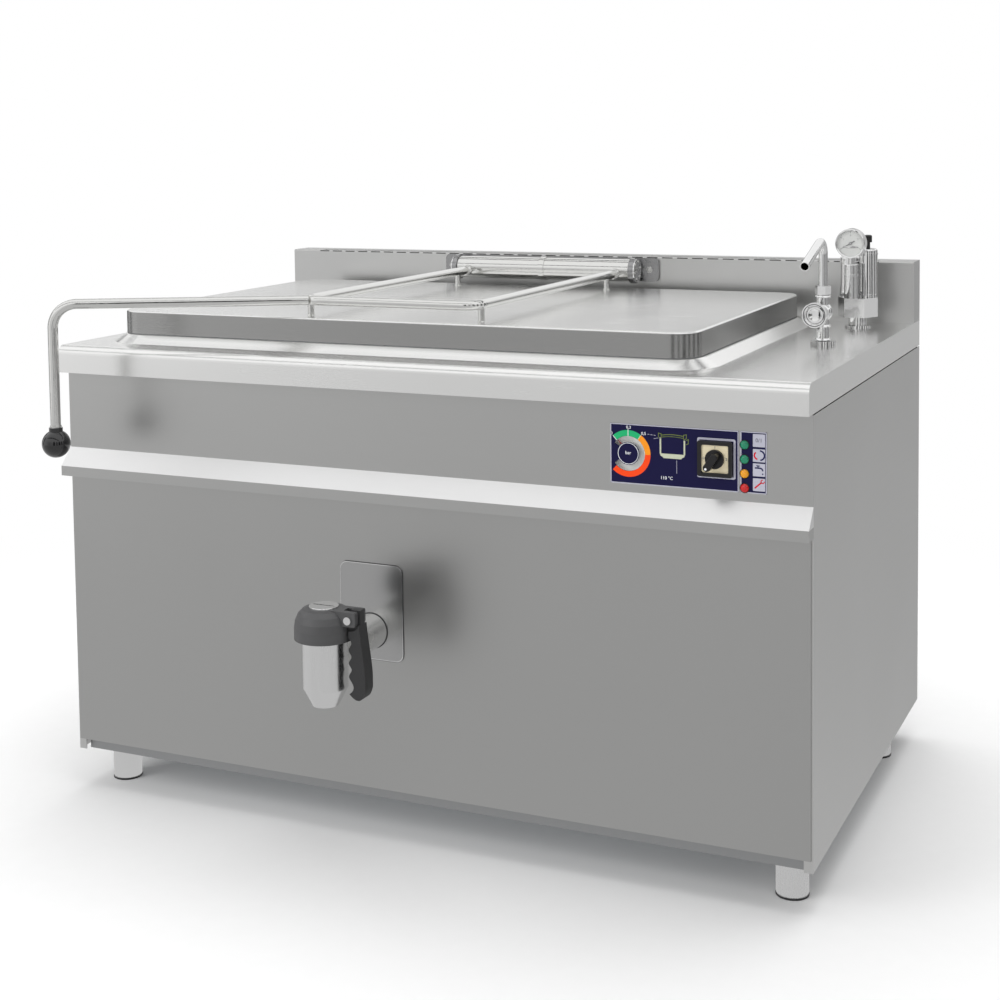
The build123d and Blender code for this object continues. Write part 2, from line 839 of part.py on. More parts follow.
def hinge_tube():
    """Turning tube on two bearings, with the adjuster collar at its middle."""
    left, right = hinge_ends()
    inside = hinge_tube_radius - hinge_tube_wall
    tube = lying_x(hinge_tube_radius, left, right, hinge_y, hinge_z)
    tube += lying_x(hinge_collar_radius, basin_x - hinge_collar_length / 2,
                    basin_x + hinge_collar_length / 2, hinge_y, hinge_z)
    tube -= lying_x(inside, left + hinge_bearing, right - hinge_bearing, hinge_y, hinge_z)
    return tube - lying_x(hinge_shaft_radius + running_gap, left, right, hinge_y, hinge_z)


def lug_span(side):
    """X range of a lug beside the end of the hinge tube."""
    end = basin_x + side * (hinge_tube_length / 2 + hinge_lug_gap)
    return angle_span(end, side, hinge_lug_thickness)


def hinge_plate():
    """Back plate on the upstand with the two round lugs that hold the shaft."""
    back = upstand_face - hinge_plate_thickness
    plate = facing_front(RectangleRounded(hinge_plate_length, hinge_plate_height, hinge_plate_corner),
                         basin_x, back, hinge_z, hinge_plate_thickness)
    for side in (-1, 1):
        plate += lying_x(hinge_lug_radius, *lug_span(side), hinge_y, hinge_z)
        plate += block(*lug_span(side), hinge_y, back, hinge_z - hinge_web_height / 2,
                       hinge_z + hinge_web_height / 2)
        plate -= lying_x(hinge_shaft_radius, *lug_span(side), hinge_y, hinge_z)
    return plate


def hinge_spindle():
    """Torsion shaft held in the lugs by a screwed disc at each end."""
    left, right = lug_span(-1)[0], lug_span(1)[1]
    shaft = lying_x(hinge_shaft_radius, left, right, hinge_y, hinge_z)
    shaft += lying_x(hinge_cap_radius, left - hinge_cap_thickness, left, hinge_y, hinge_z)
    return shaft + lying_x(hinge_cap_radius, right, right + hinge_cap_thickness, hinge_y, hinge_z)


def frame_arms():
    """X of the left and the right arm of the lid frame."""
    return basin_x - frame_half_width, basin_x + frame_half_width


def frame_bar(radius):
    """Bar along the lid frame's centre line, from the hinge round the lid and back."""
    left, right = frame_arms()
    route = [(left, hinge_y, frame_z), (left, frame_front, frame_z),
             (right, frame_front, frame_z), (right, hinge_y, frame_z)]
    return pipe(route, frame_bend, radius)


def lid_frame():
    """Bent tube round the lid, welded to the hinge tube, on four standoffs."""
    frame = frame_bar(frame_tube_radius)
    for x in frame_arms():
        for y in (frame_front + standoff_front, lid_rear - standoff_rear):
            frame += upright(standoff_radius, x, y, lid_top, frame_z)
    frame -= frame_bar(frame_tube_radius - frame_tube_wall)
    return frame - lying_x(hinge_tube_radius, *hinge_ends(), hinge_y, hinge_z)


def lever_points():
    """Start, outer corner and foot of the lever's centre line."""
    start = (frame_arms()[0] + frame_tube_radius, frame_front)
    end = (lid_left - lever_side, lid_front - lever_front)
    foot_z = knob_height + knob_radius + knob_neck_length
    return [(*start, frame_z), (*end, frame_z), (*end, foot_z)]


def lid_lever():
    """Lifting lever: level run to the front corner, bend and straight drop."""
    lever = pipe(lever_points(), lever_bend, frame_tube_radius) - frame_bar(frame_tube_radius)
    return lever.solids().sort_by(SortBy.VOLUME)[-1]


def lid_knob():
    """Ball knob with a short neck, at the foot of the lever."""
    x, y, z = lever_points()[-1]
    ball = Pos(x, y, knob_height) * Sphere(knob_radius)
    return ball + upright(knob_neck_radius, x, y, knob_height, z)


def lobed(radius, lobes, depth):
    """Flat round outline with scallops of the given depth cut into its edge."""
    outline = Circle(radius)
    for i in range(lobes):
        angle = 360 / lobes * i
        outline -= Rot(0, 0, angle) * Pos(radius + 2 * depth, 0) * Circle(3 * depth)
    return outline


def tap_body():
    """Column, valve chamber, bonnet and union nut, with the shank through the worktop."""
    base = worktop_height
    flange = Pos(tap_x, tap_y, base) * lobed(tap_flange_radius, tap_flange_lobes, tap_flange_scallop)
    body = extrude(flange, tap_flange_height)
    chamber = base + tap_chamber_height
    neck = base + tap_neck_height
    body += upright(tap_column_radius, tap_x, tap_y, base, chamber)
    body += Pos(tap_x, tap_y, chamber) * Sphere(tap_chamber_radius)
    body += upright(tap_column_radius, tap_x, tap_y, chamber, neck)
    nut = Pos(tap_x, tap_y, neck) * RegularPolygon(nut_radius, 6)
    body += extrude(nut, nut_height)
    body += lying_y(bonnet_radius, tap_x, tap_y - bonnet_reach, tap_y, chamber)
    body += upright(tap_shank_radius, tap_x, tap_y, base - tap_shank_length, base)
    body -= upright(spout_radius + running_gap, tap_x, tap_y, neck - spout_radius, neck + nut_height)
    return body - lying_y(wheel_stem_radius + running_gap, tap_x, tap_y - bonnet_reach,
                          tap_y - bonnet_reach + bonnet_bore_depth, chamber)


def tap_spout():
    """Bent outlet tube, parked towards the front."""
    base = worktop_height
    foot_z = base + tap_neck_height - spout_radius
    points = [(tap_x, tap_y, foot_z), (tap_x, tap_y, base + spout_top),
              (tap_x, tap_y - spout_reach, base + spout_top - spout_drop)]
    return pipe(points, spout_bend, spout_radius, spout_wall)


def tap_handwheel():
    """Scalloped cup wheel on its stem."""
    z = worktop_height + tap_chamber_height
    back = tap_y - wheel_offset + wheel_depth
    outline = lobed(wheel_radius, wheel_lobes, wheel_scallop)
    wheel = facing_front(outline, tap_x, back - wheel_depth, z, wheel_depth)
    mouth = wheel_radius - wheel_rim
    dish = [(0, back - wheel_depth), (mouth, back - wheel_depth),
            (mouth - wheel_dish_slope, back - wheel_depth / 2), (0, back - wheel_depth / 2)]
    wheel -= turned_y(dish, tap_x, z)
    stem_end = tap_y - bonnet_reach + bonnet_bore_depth
    return wheel + lying_y(wheel_stem_radius, tap_x, back - wheel_depth / 2, stem_end, z)


def water_pipe():
    """Threaded inlet at the rear and the pipe from it up to the tap."""
    pipe_top = worktop_height - tap_shank_length
    points = [(inlet_x, rear_face - panel_sheet, service_z), (inlet_x, tap_y, service_z),
              (tap_x, tap_y, service_z + 2 * supply_bend), (tap_x, tap_y, pipe_top)]
    run = pipe(points, supply_bend, supply_pipe_radius)
    run += lying_y(inlet_neck_radius, inlet_x, rear_face - panel_sheet, rear_edge, service_z)
    return run + lying_y(inlet_radius, inlet_x, rear_edge - inlet_length, rear_edge, service_z)


def safety_pipe():
    """Steam pipe from the top of the jacket to the safety group."""
    wall = basin_x + basin_width / 2 + vessel_sheet + jacket_gap
    points = [(wall, steam_pipe_y, steam_pipe_height), (safety_x, steam_pipe_y, steam_pipe_height),
              (safety_x, safety_y, steam_pipe_height), (safety_x, safety_y, worktop_height)]
    return pipe(points, steam_bend, steam_pipe_radius)


def safety_manifold():
    """Flange, stub, hexagonal distributor and the siphon that carries the gauge."""
    base = worktop_height
    body = upright(safety_flange_radius, safety_x, safety_y, base, base + safety_flange_height)
    body += upright(safety_stub_radius, safety_x, safety_y, base + safety_flange_height, manifold_base)
    corner = manifold_across_flats / 2 / cos(radians(30))
    hexagon = Pos(safety_x, safety_y, manifold_base) * RegularPolygon(corner, 6)
    body += extrude(hexagon, manifold_height)
    x, y = safety_x + siphon_offset_x, safety_y + siphon_offset_y
    siphon = upright(siphon_radius, x, y, manifold_top, manifold_top + siphon_height)
    return body + fillet(siphon.edges().sort_by(Axis.Z)[-1], siphon_round)


def safety_valve():
    """Spring-loaded safety valve with the socket for its lifting knob."""
    x, y = safety_x + valve_offset_x, safety_y + valve_offset_y
    top = manifold_top + valve_height
    valve = upright(valve_radius, x, y, manifold_top, top)
    valve = fillet(valve.edges().sort_by(Axis.Z)[-1], valve_round)
    return valve - upright(lift_stem_radius + running_gap, x, y, top - lift_socket_depth, top)


def safety_valve_knob():
    """Lifting knob of the safety valve, on its stem."""
    x, y = safety_x + valve_offset_x, safety_y + valve_offset_y
    top = manifold_top + valve_height
    knob_low = top + lift_stem_height
    stem = upright(lift_stem_radius, x, y, top - lift_socket_depth, knob_low)
    knob = upright(lift_knob_radius, x, y, knob_low, knob_low + lift_knob_height)
    return stem + fillet(knob.edges().sort_by(Axis.Z)[-1], lift_knob_round)


def vacuum_valve():
    """Vacuum breaker beside the safety valve."""
    x, y = safety_x + breaker_offset_x, safety_y + breaker_offset_y
    valve = upright(breaker_radius, x, y, manifold_top, manifold_top + breaker_height)
    return fillet(valve.edges().sort_by(Axis.Z)[-1], valve_round)


def gauge_place():
    """X of the gauge and Y of its front rim."""
    return safety_x + siphon_offset_x, safety_y + siphon_offset_y - gauge_depth / 2


def gauge_case():
    """Round gauge case with a stem down into the siphon and a pin for the needle."""
    x, front = gauge_place()
    back = front + gauge_depth
    case = [(0, back), (gauge_radius - gauge_round, back), (gauge_radius, back - gauge_round),
            (gauge_radius, front),
            (gauge_radius - gauge_wall, front), (gauge_radius - gauge_wall, front + gauge_dial_depth),
            (0, front + gauge_dial_depth)]
    body = turned_y(case, x, gauge_z)
    siphon_top = manifold_top + siphon_height
    body += upright(gauge_stem_radius, x, front + gauge_depth / 2, siphon_top, gauge_z - gauge_radius / 2)
    return body + lying_y(dial_pin_radius, x, front + lens_thickness + resting_gap,
                          front + gauge_dial_depth, gauge_z)


def gauge_lens():
    """Window of the gauge."""
    x, front = gauge_place()
    return lying_y(gauge_radius - gauge_wall, x, front, front + lens_thickness, gauge_z)


def needle(length, tail, width, hub, thickness, bore, turn, x, y, z):
    """Tapered pointer with a round hub, turned clockwise as seen from the front."""
    outline = make_face(Polyline((-width / 2, 0), (-width / 2, -tail), (width / 2, -tail),
                                 (width / 2, 0), (needle_tip / 2, length), (-needle_tip / 2, length),
                                 close=True))
    outline = outline + Circle(hub) - Circle(bore)
    return facing_front(Rot(0, 0, -turn) * outline, x, y, z, thickness)


def gauge_needle():
    """Needle of the pressure gauge, resting at its zero."""
    x, front = gauge_place()
    y = (front + lens_thickness + front + gauge_dial_depth) / 2
    return needle(needle_length, needle_tail, needle_width, needle_hub_radius, needle_thickness,
                  dial_pin_radius + running_gap, needle_rest, x, y, gauge_z)


def lamp_heights():
    """Heights of the four lamps, from the top one down."""
    return [lamp_top - lamp_pitch * i for i in range(4)]


def control_plate():
    """Printed plate with the curved window over the dial and the opening for the switch."""
    plate = Rectangle(control_width, control_height)
    window = Circle(dial_window_outer) - Circle(dial_window_inner)
    reach = 2 * dial_window_outer
    wedge = make_face(Polyline((0, 0), (-reach, reach * sin(radians(dial_window_gap / 2))),
                               (-reach, -reach * sin(radians(dial_window_gap / 2))), close=True))
    window -= wedge
    plate -= Pos(dial_x - control_x, dial_z - control_z) * window
    plate -= Pos(switch_x - control_x, switch_z - control_z) * Rectangle(switch_body_size, switch_body_size)
    return facing_front(plate, control_x, fascia_face - control_thickness, control_z, control_thickness)


def lamp_plate():
    """Narrow printed plate with the four lamp holes."""
    x = control_x + control_width / 2 + control_margin + lamp_plate_width / 2
    plate = Rectangle(lamp_plate_width, control_height)
    for z in lamp_heights():
        plate -= Pos(lamp_x - x, z - control_z) * Circle(lamp_body_radius)
    return facing_front(plate, x, fascia_face - control_thickness, control_z, control_thickness)


def lamp(z):
    """Domed indicator lamp with its body behind the plate."""
    face = fascia_face - control_thickness
    outline = [(0, face + lamp_body_depth), (lamp_body_radius, face + lamp_body_depth),
               (lamp_body_radius, face), *dome_points(lamp_radius, 0, face, face - lamp_dome)]
    return turned_y(outline, lamp_x, z)


def panel_gauge():
    """Flat dial case behind the fascia, with the pin for its pointer."""
    back = cabinet_front + dial_case_depth
    case = lying_y(dial_case_radius, dial_x, fascia_face, back, dial_z)
    well = fascia_face + dial_well_depth
    case -= lying_y(dial_case_radius - dial_case_wall, dial_x, fascia_face, well, dial_z)
    return case + lying_y(dial_pin_radius, dial_x, fascia_face + dial_pin_start, well, dial_z)


def panel_gauge_pointer():
    """Pointer behind the curved window, resting at the zero mark."""
    y = fascia_face + dial_pin_start + pointer_thickness
    return needle(pointer_length, pointer_tail, pointer_width, pointer_hub_radius, pointer_thickness,
                  dial_pin_radius + running_gap, pointer_rest, dial_x, y, dial_z)


def rotary_switch():
    """Switch with a square frame in front of the plate and its body behind."""
    face = fascia_face - control_thickness
    frame = RectangleRounded(switch_frame, switch_frame, switch_frame_corner)
    body = facing_front(frame, switch_x, face - switch_frame_depth, switch_z, switch_frame_depth)
    inset = RectangleRounded(switch_body_size, switch_body_size, switch_frame_corner / 2)
    body -= facing_front(inset, switch_x, face - switch_frame_depth, switch_z, switch_frame_depth / 2)
    core = Rectangle(switch_body_size - reveal, switch_body_size - reveal)
    body += facing_front(core, switch_x, face - switch_frame_depth / 2, switch_z, switch_body_depth)
    return body - lying_y(knob_shaft_radius + running_gap, switch_x, face - switch_frame_depth / 2,
                          face - switch_frame_depth / 2 + knob_shaft_depth, switch_z)


def switch_knob():
    """Pointer knob of the switch, on its shaft."""
    seat = fascia_face - control_thickness - switch_frame_depth / 2 - resting_gap
    knob = lying_y(knob_base_radius, 0, seat - knob_base_depth, seat, 0)
    grip = Pos(0, knob_grip_lead) * SlotOverall(knob_grip_length, knob_grip_width, rotation=90)
    front = seat - knob_base_depth - knob_grip_depth
    bar = facing_front(grip, 0, front, 0, knob_grip_depth)
    knob += fillet(bar.faces().sort_by(Axis.Y)[0].edges(), knob_round)
    knob += lying_y(knob_shaft_radius, 0, seat, seat + knob_shaft_depth, 0)
    return Pos(switch_x, 0, switch_z) * Rot(0, knob_rest, 0) * knob


def contactor_block():
    """Mounting plate on the front right post with the contactors and the terminals."""
    wall = base_half - post_width
    top = electric_base + electric_height
    front = base_front
    plate = block(wall - base_sheet, wall, front, front + electric_length, electric_base, top)
    inner = wall - base_sheet
    for i in range(contactor_count):
        y0 = front + post_width + i * (contactor_width + contactor_gap)
        z0 = top - contactor_gap - contactor_height
        plate += block(inner - contactor_depth, inner, y0, y0 + contactor_width, z0, z0 + contactor_height)
        plate += block(inner - contactor_depth - contactor_step, inner - contactor_depth, y0,
                       y0 + contactor_width, z0 + contactor_step, z0 + contactor_height - contactor_step)
    z0 = electric_base + contactor_gap
    return plate + block(inner - terminal_depth, inner, front + post_width,
                         front + electric_length - contactor_gap, z0, z0 + terminal_height)


def cable_gland():
    """Cable entry in the rear panel: hexagon, dome and bore."""
    plate = rear_face
    gland = facing_front(RegularPolygon(gland_nut_radius, 6), gland_x, plate, service_z, gland_length / 2)
    dome = lying_y(gland_dome_radius, gland_x, plate + gland_length / 2, plate + gland_length, service_z)
    gland += chamfer(dome.edges().sort_by(Axis.Y)[-1], gland_chamfer)
    gland += lying_y(gland_core_radius, gland_x, plate - gland_tail, plate, service_z)
    return gland - lying_y(gland_bore, gland_x, plate - gland_tail, plate + gland_length, service_z)


def drain_pipe():
    """Pipe from the basin through the jacket and the front to the valve."""
    tube = lying_y(drain_pipe_radius, basin_x, valve_y, vessel_front(), drain_height)
    tube -= lying_y(drain_pipe_radius - drain_pipe_wall, basin_x, valve_y, vessel_front(), drain_height)
    tube -= upright(body_radius, basin_x, valve_y, drain_height + body_bottom, drain_height + body_top)
    return tube


def drain_plate():
    """Rounded cover plate on the front panel, round the pipe."""
    plate = RectangleRounded(drain_plate_width, drain_plate_height, drain_plate_corner)
    plate -= Pos(0, -drain_plate_rise) * Circle(drain_pipe_radius)
    return facing_front(plate, basin_x, panel_face - drain_plate_thickness,
                        drain_height + drain_plate_rise, drain_plate_thickness)


def drain_valve_body():
    """Upright tapered body: bonnet with the stem's bore, seat inside, open at the bottom."""
    z = drain_height
    inside = body_radius - body_wall
    stem_bore = stem_radius + running_gap
    outline = [(stem_bore, z + body_top), (body_radius, z + body_top), (body_radius, z + body_taper_start),
               (outlet_radius + body_wall / 2, z + body_bottom), (outlet_radius, z + body_bottom),
               (outlet_radius, z + body_bottom + outlet_land), (inside, z + body_taper_start),
               (inside, z + seat_height - seat_thickness),
               (seat_bore, z + seat_height - seat_thickness), (seat_bore, z + seat_height),
               (inside, z + seat_height), (inside, z + body_top - bonnet_thickness),
               (stem_bore, z + body_top - bonnet_thickness)]
    body = turned_z(outline, basin_x, valve_y)
    bore = drain_pipe_radius - drain_pipe_wall
    return body - lying_y(bore, basin_x, valve_y, valve_y + body_radius, z)


def drain_valve_cap():
    """Domed cap over the body, with the fork that carries the lever."""
    z = drain_height
    shoulder, roof = z + cap_bottom + cap_skirt, z + cap_top - cap_wall
    cap = turned_z([(0, z + cap_bottom), (cap_radius, z + cap_bottom),
                    *dome_points(cap_radius, cap_flat_radius, shoulder, z + cap_top), (0, z + cap_top)],
                   basin_x, valve_y)
    arm = block(basin_x, pin_x + fork_end, valve_y - fork_width / 2, valve_y + fork_width / 2,
                z + fork_low, z + cap_top)
    cap += fillet(arm.faces().sort_by(Axis.X)[-1].edges().filter_by(Axis.Y), fork_end_round)
    inside = cap_radius - 2 * cap_wall
    cap -= turned_z([(0, z + cap_bottom), (body_radius, z + cap_bottom), (body_radius, z + body_top),
                     (inside, z + body_top), (inside, shoulder), (cap_flat_radius, roof), (0, roof)],
                    basin_x, valve_y)
    slot = angle_span(valve_y - fork_slot / 2, 1, fork_slot)
    cap -= block(basin_x + stem_collar_radius, pin_x + fork_end, *slot, z + body_top, roof)
    cap -= block(pin_x - fork_end, pin_x + fork_end, *slot, z + body_top, z + cap_top)
    cap -= upright(plug_radius, basin_x, valve_y, z + cap_top - plug_height / 2, z + cap_top)
    return cap - lying_y(pin_radius, pin_x, valve_y - fork_width / 2, valve_y + fork_width / 2, pin_z)


def drain_cap_plug():
    """Slotted round screw in the top of the cap."""
    low = drain_height + cap_top - plug_height / 2
    plug = upright(plug_radius, basin_x, valve_y, low, low + plug_height)
    plug = fillet(plug.edges().sort_by(Axis.Z)[-1], plug_round)
    return plug - block(basin_x - plug_slot_length / 2, basin_x + plug_slot_length / 2,
                        valve_y - plug_slot / 2, valve_y + plug_slot / 2,
                        low + plug_height / 2, low + plug_height)


def drain_lever_pin():
    """Headed pin through the fork."""
    front = valve_y - fork_width / 2
    pin = lying_y(pin_radius, pin_x, front, front + fork_width, pin_z)
    return pin + lying_y(pin_head_radius, pin_x, front - pin_head_length, front, pin_z)


def grip_outline():
    """Side view of the grip round its pivot: swelling back, toe and finger waves."""
    high, low = grip_top, grip_bottom
    outer = Spline((grip_head_reach, high), (grip_head_reach, 0),
                   ((grip_head_reach + 3 * grip_reach) / 4, low / 2), (grip_reach, low + grip_toe))
    toe = Spline(outer @ 1, (grip_inner + grip_toe, low), (grip_inner, low + grip_toe / 2))
    crests = [(grip_inner + (grip_wave if i % 2 else 0), low + grip_toe + grip_wave_pitch / 2 * i)
              for i in range(1, 2 * grip_waves + 1)]
    neck = lever_head_radius * cos(radians(45))
    inner = Spline(toe @ 1, *crests, (-neck, -neck))
    top = Polyline(inner @ 1, (0, high), outer @ 0)
    return make_face([outer, toe, inner, top])


def drain_lever():
    """Hand lever: narrow head in the fork, the nose that moves the stem, and the grip."""
    grip = grip_outline()
    turn = radians(lever_nose_rest)
    nose = Pos(-lever_nose_length * cos(turn), -lever_nose_length * sin(turn)) * Circle(lever_nose_radius)
    arm = make_hull(Circle(lever_arm_radius).edges() + nose.edges())
    head = grip + Circle(lever_head_radius) + arm
    room = Pos((grip_inner + grip_reach) / 2, grip_bottom / 2)
    room *= Rectangle(grip_reach - grip_inner, -grip_bottom)
    wide = grip & room - Circle(lever_clear_radius)
    lever = facing_front(head, 0, valve_y - lever_head_width / 2, 0, lever_head_width)
    lever += facing_front(wide, 0, valve_y - grip_width / 2, 0, grip_width)
    lever -= lying_y(pin_radius + running_gap, 0, valve_y - grip_width, valve_y + grip_width, 0)
    return Pos(pin_x, 0, pin_z) * lever


def drain_plunger():
    """Stem with the two collars that the lever moves, and the disc under its seat."""
    nose_z = pin_z - lever_nose_length * sin(radians(lever_nose_rest))
    disc_high = drain_height + seat_height - seat_thickness - resting_gap
    disc_low = disc_high - disc_thickness
    low, high = nose_z - stem_groove / 2, nose_z + stem_groove / 2
    collar_low = low - stem_collar_thickness
    outline = [(0, disc_low), (disc_radius - disc_bevel, disc_low), (disc_radius, disc_low + disc_bevel),
               (disc_radius, disc_high), (stem_radius, disc_high),
               (stem_radius, collar_low), (stem_collar_radius, collar_low),
               (stem_collar_radius, low), (stem_radius, low), (stem_radius, high),
               (stem_collar_radius, high), (stem_collar_radius, high + stem_collar_thickness),
               (0, high + stem_collar_thickness)]
    return turned_z(outline, basin_x, valve_y)


def build():
    """Every sub-part under its node's name."""
    parts = {
        "base_frame": base_frame(), "support_frame": support_frame(),
        "side_panel_left": side_panel(-1), "side_panel_right": side_panel(1),
        "rear_panel": rear_panel(), "bottom_tray": bottom_tray(), "front_panel": front_panel(),
        "control_fascia": control_fascia(), "worktop": worktop(), "backsplash": backsplash(),
        "vent_grille": vent_grille(), "inner_vessel": inner_vessel(), "steam_jacket": steam_jacket(),
        "insulation": insulation(), "heating_elements": heating_elements(),
        "safety_pipe": safety_pipe(), "water_pipe": water_pipe(), "contactor_block": contactor_block(),
        "cable_gland": cable_gland(),
        "lid_shell": lid_shell(), "lid_inner_skin": lid_inner_skin(), "lid_gasket": lid_gasket(),
        "lid_frame": lid_frame(), "lid_lever": lid_lever(), "lid_knob": lid_knob(),
        "hinge_tube": hinge_tube(), "hinge_plate": hinge_plate(), "hinge_spindle": hinge_spindle(),
        "tap_body": tap_body(), "tap_spout": tap_spout(), "tap_handwheel": tap_handwheel(),
        "safety_manifold": safety_manifold(), "safety_valve": safety_valve(),
        "safety_valve_knob": safety_valve_knob(), "vacuum_valve": vacuum_valve(),
        "gauge_case": gauge_case(), "gauge_lens": gauge_lens(), "gauge_needle": gauge_needle(),
        "control_plate": control_plate(), "lamp_plate": lamp_plate(), "panel_gauge": panel_gauge(),
        "panel_gauge_pointer": panel_gauge_pointer(), "rotary_switch": rotary_switch(),
        "switch_knob": switch_knob(),
        "drain_pipe": drain_pipe(), "drain_plate": drain_plate(), "drain_valve_body": drain_valve_body(),
        "drain_valve_cap": drain_valve_cap(), "drain_cap_plug": drain_cap_plug(),
        "drain_lever_pin": drain_lever_pin(), "drain_lever": drain_lever(),
        "drain_plunger": drain_plunger(),
    }
    for name, z in zip(("lamp_power", "lamp_heating", "lamp_water", "lamp_fault"), lamp_heights()):
        parts[name] = lamp(z)
    for name, (x, y) in foot_places().items():
        parts[name] = foot(x, y)
    return parts


if __name__ == "__main__":
    os.makedirs("parts", exist_ok=True)
    for name, shape in build().items():
        export_step(shape, f"parts/{name}.step")
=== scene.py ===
"""Looks of the steam jacketed kettle: finishes, printed panel, small fittings, studio and camera.

Places and sizes are millimetres in the model's own frame: X to the right, Y to the back, Z up.
The meshes themselves, the stage and the camera are in metres.
"""

import math

import bmesh
import bpy
import numpy as np
from bpy.props import FloatProperty, FloatVectorProperty, IntProperty, PointerProperty
from bpy.types import Operator, Panel, PropertyGroup
from mathutils import Matrix, Vector


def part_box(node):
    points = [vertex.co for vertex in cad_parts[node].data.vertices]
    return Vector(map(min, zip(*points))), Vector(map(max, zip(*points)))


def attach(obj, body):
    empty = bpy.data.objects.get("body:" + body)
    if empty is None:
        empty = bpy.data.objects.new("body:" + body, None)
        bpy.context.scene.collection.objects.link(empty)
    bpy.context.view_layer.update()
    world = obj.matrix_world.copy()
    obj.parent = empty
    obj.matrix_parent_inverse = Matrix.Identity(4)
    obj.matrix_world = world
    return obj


bl_info = {
    "name": "Steam jacketed kettle",
    "version": (1, 0, 0),
    "blender": (4, 5, 0),
    "location": "View3D > Sidebar > Kettle",
    "description": "Finishes, printed panel, small fittings, studio and camera for the kettle",
    "category": "Object",
}

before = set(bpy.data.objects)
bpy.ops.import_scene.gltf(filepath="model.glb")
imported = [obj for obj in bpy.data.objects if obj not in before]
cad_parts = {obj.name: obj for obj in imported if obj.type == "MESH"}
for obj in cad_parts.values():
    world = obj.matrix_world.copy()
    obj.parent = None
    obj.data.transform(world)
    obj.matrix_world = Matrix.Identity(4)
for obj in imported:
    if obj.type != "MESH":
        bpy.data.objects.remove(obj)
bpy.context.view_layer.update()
MM = 0.001


def linear(code):
    """Linear colour with alpha 1 from an sRGB hex code."""
    parts = [int(code[place:place + 2], 16) / 255 for place in (0, 2, 4)]
    return tuple(part / 12.92 if part <= 0.04045 else ((part + 0.055) / 1.055) ** 2.4
                 for part in parts) + (1.0,)


def low(node):
    """Lowest corner of a CAD node, in millimetres."""
    return np.array(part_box(node)[0]) / MM


def high(node):
    """Highest corner of a CAD node, in millimetres."""
    return np.array(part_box(node)[1]) / MM


def middle(node):
    """Centre of a CAD node, in millimetres."""
    return (low(node) + high(node)) / 2


# ---- sizes and colours that a user would change


def amount(title, text, value, **more):
    """Number that isn't negative, with its unit or highest value."""
    return FloatProperty(name=title, description=text, default=value, min=0.0, **more)


def length(title, text, value):
    """Length in millimetres, shown and kept as a Blender length."""
    return amount(title, text, value * MM, unit="LENGTH")


def colour(title, text, code):
    """Colour picked from an sRGB hex code."""
    return FloatVectorProperty(name=title, description=text, default=linear(code)[:3], size=3,
                               min=0.0, max=1.0, subtype="COLOR")


class KettleSizes(PropertyGroup):
    """Sizes of the printed marks and small fittings."""

    print_depth: length("Print thickness", "Thickness of the printed marks on the plates", 0.12)
    border_width: length("Border width", "Width of the bright line round each printed plate", 1.5)
    band_inner: length("Band inner radius", "Inner radius of the coloured pressure band", 28.2)
    band_outer: length("Band outer radius", "Outer radius of the coloured pressure band", 37.5)
    numeral_height: length("Numeral height", "Height of the panel's figures", 7.5)
    bolt_radius: length("Bolt head radius", "Radius of the bolt heads at the hinge", 3.0)
    screw_radius: length("Screw head radius", "Radius of the screw heads on the rear panel", 5.0)
    screw_pitch: length("Screw pitch", "Distance between the screws of the rear panel", 160.0)
    pad_height: length("Foot pad height", "Height of the black pad under each foot", 2.6)
    dial_ticks: IntProperty(name="Dial ticks", description="Marks round the small gauge's dial",
                            default=25, min=3, max=120)


class KettleColours(PropertyGroup):
    """Colours of the finishes that a user would repaint."""

    sheet: colour("Cabinet sheet", "Brushed sheet of the cabinet's front", "bdbdbc")
    side: colour("Side sheet", "Brushed sheet of the side panels", "d6d6d5")
    worktop: colour("Worktop sheet", "Brushed sheet of the worktop", "f6f6f5")
    lid: colour("Lid sheet", "Brushed sheet of the lid's skirt", "a8a8a7")
    tube: colour("Polished tube", "Ground and polished tube of the lid frame and lever", "e2e2e0")
    plating: colour("Chrome plating", "Chrome of the tap and the safety group", "ececec")
    plate: colour("Printed plate", "Navy ground of the control plates", "17153f")
    silver: colour("Printed silver", "Borders and squares on the plates", "bdbdcb")
    face: colour("Switch face", "Cream face of the switch", "efe2bf")
    running: colour("Green lamp", "Lens of the two green lamps", "0a8763")
    filling: colour("Amber lamp", "Lens of the amber lamp", "f0a000")
    fault: colour("Red lamp", "Lens of the red lamp", "c80c10")


class KettleStage(PropertyGroup):
    """Studio settings."""

    room_light: amount("Room light", "Strength of the soft light from all round", 0.62, max=4.0)
    overhead: amount("Overhead lamp", "Power of the large lamp above the object", 105.0, unit="POWER")
    fill: amount("Fill lamp", "Power of the lamp at the front left", 70.0, unit="POWER")
    wall_radius: amount("Wall radius", "Radius of the grey reflecting wall", 5.5, unit="LENGTH")
    wall_height: amount("Wall height", "Height of the grey reflecting wall", 3.0, unit="LENGTH")
    floor_radius: amount("Floor radius", "Radius of the pale floor", 30.0, unit="LENGTH")


def size(name):
    """A length that the user may set, in millimetres."""
    return getattr(bpy.context.scene.kettle_sizes, name) / MM


# ---- materials


def add(tree, kind, settings=None, links=None):
    """New shader node of a kind, with its settings by attribute or socket and what feeds its sockets.

    A socket is fed by another socket, or by a node, which stands for its first output.
    """
    node = tree.nodes.new("ShaderNode" + kind)
    for key, value in (settings or {}).items():
        if isinstance(key, str) and hasattr(node, key):
            setattr(node, key, value)
        else:
            node.inputs[key].default_value = value
    for key, source in (links or {}).items():
        tree.links.new(getattr(source, "outputs", [source])[0], node.inputs[key])
    return node


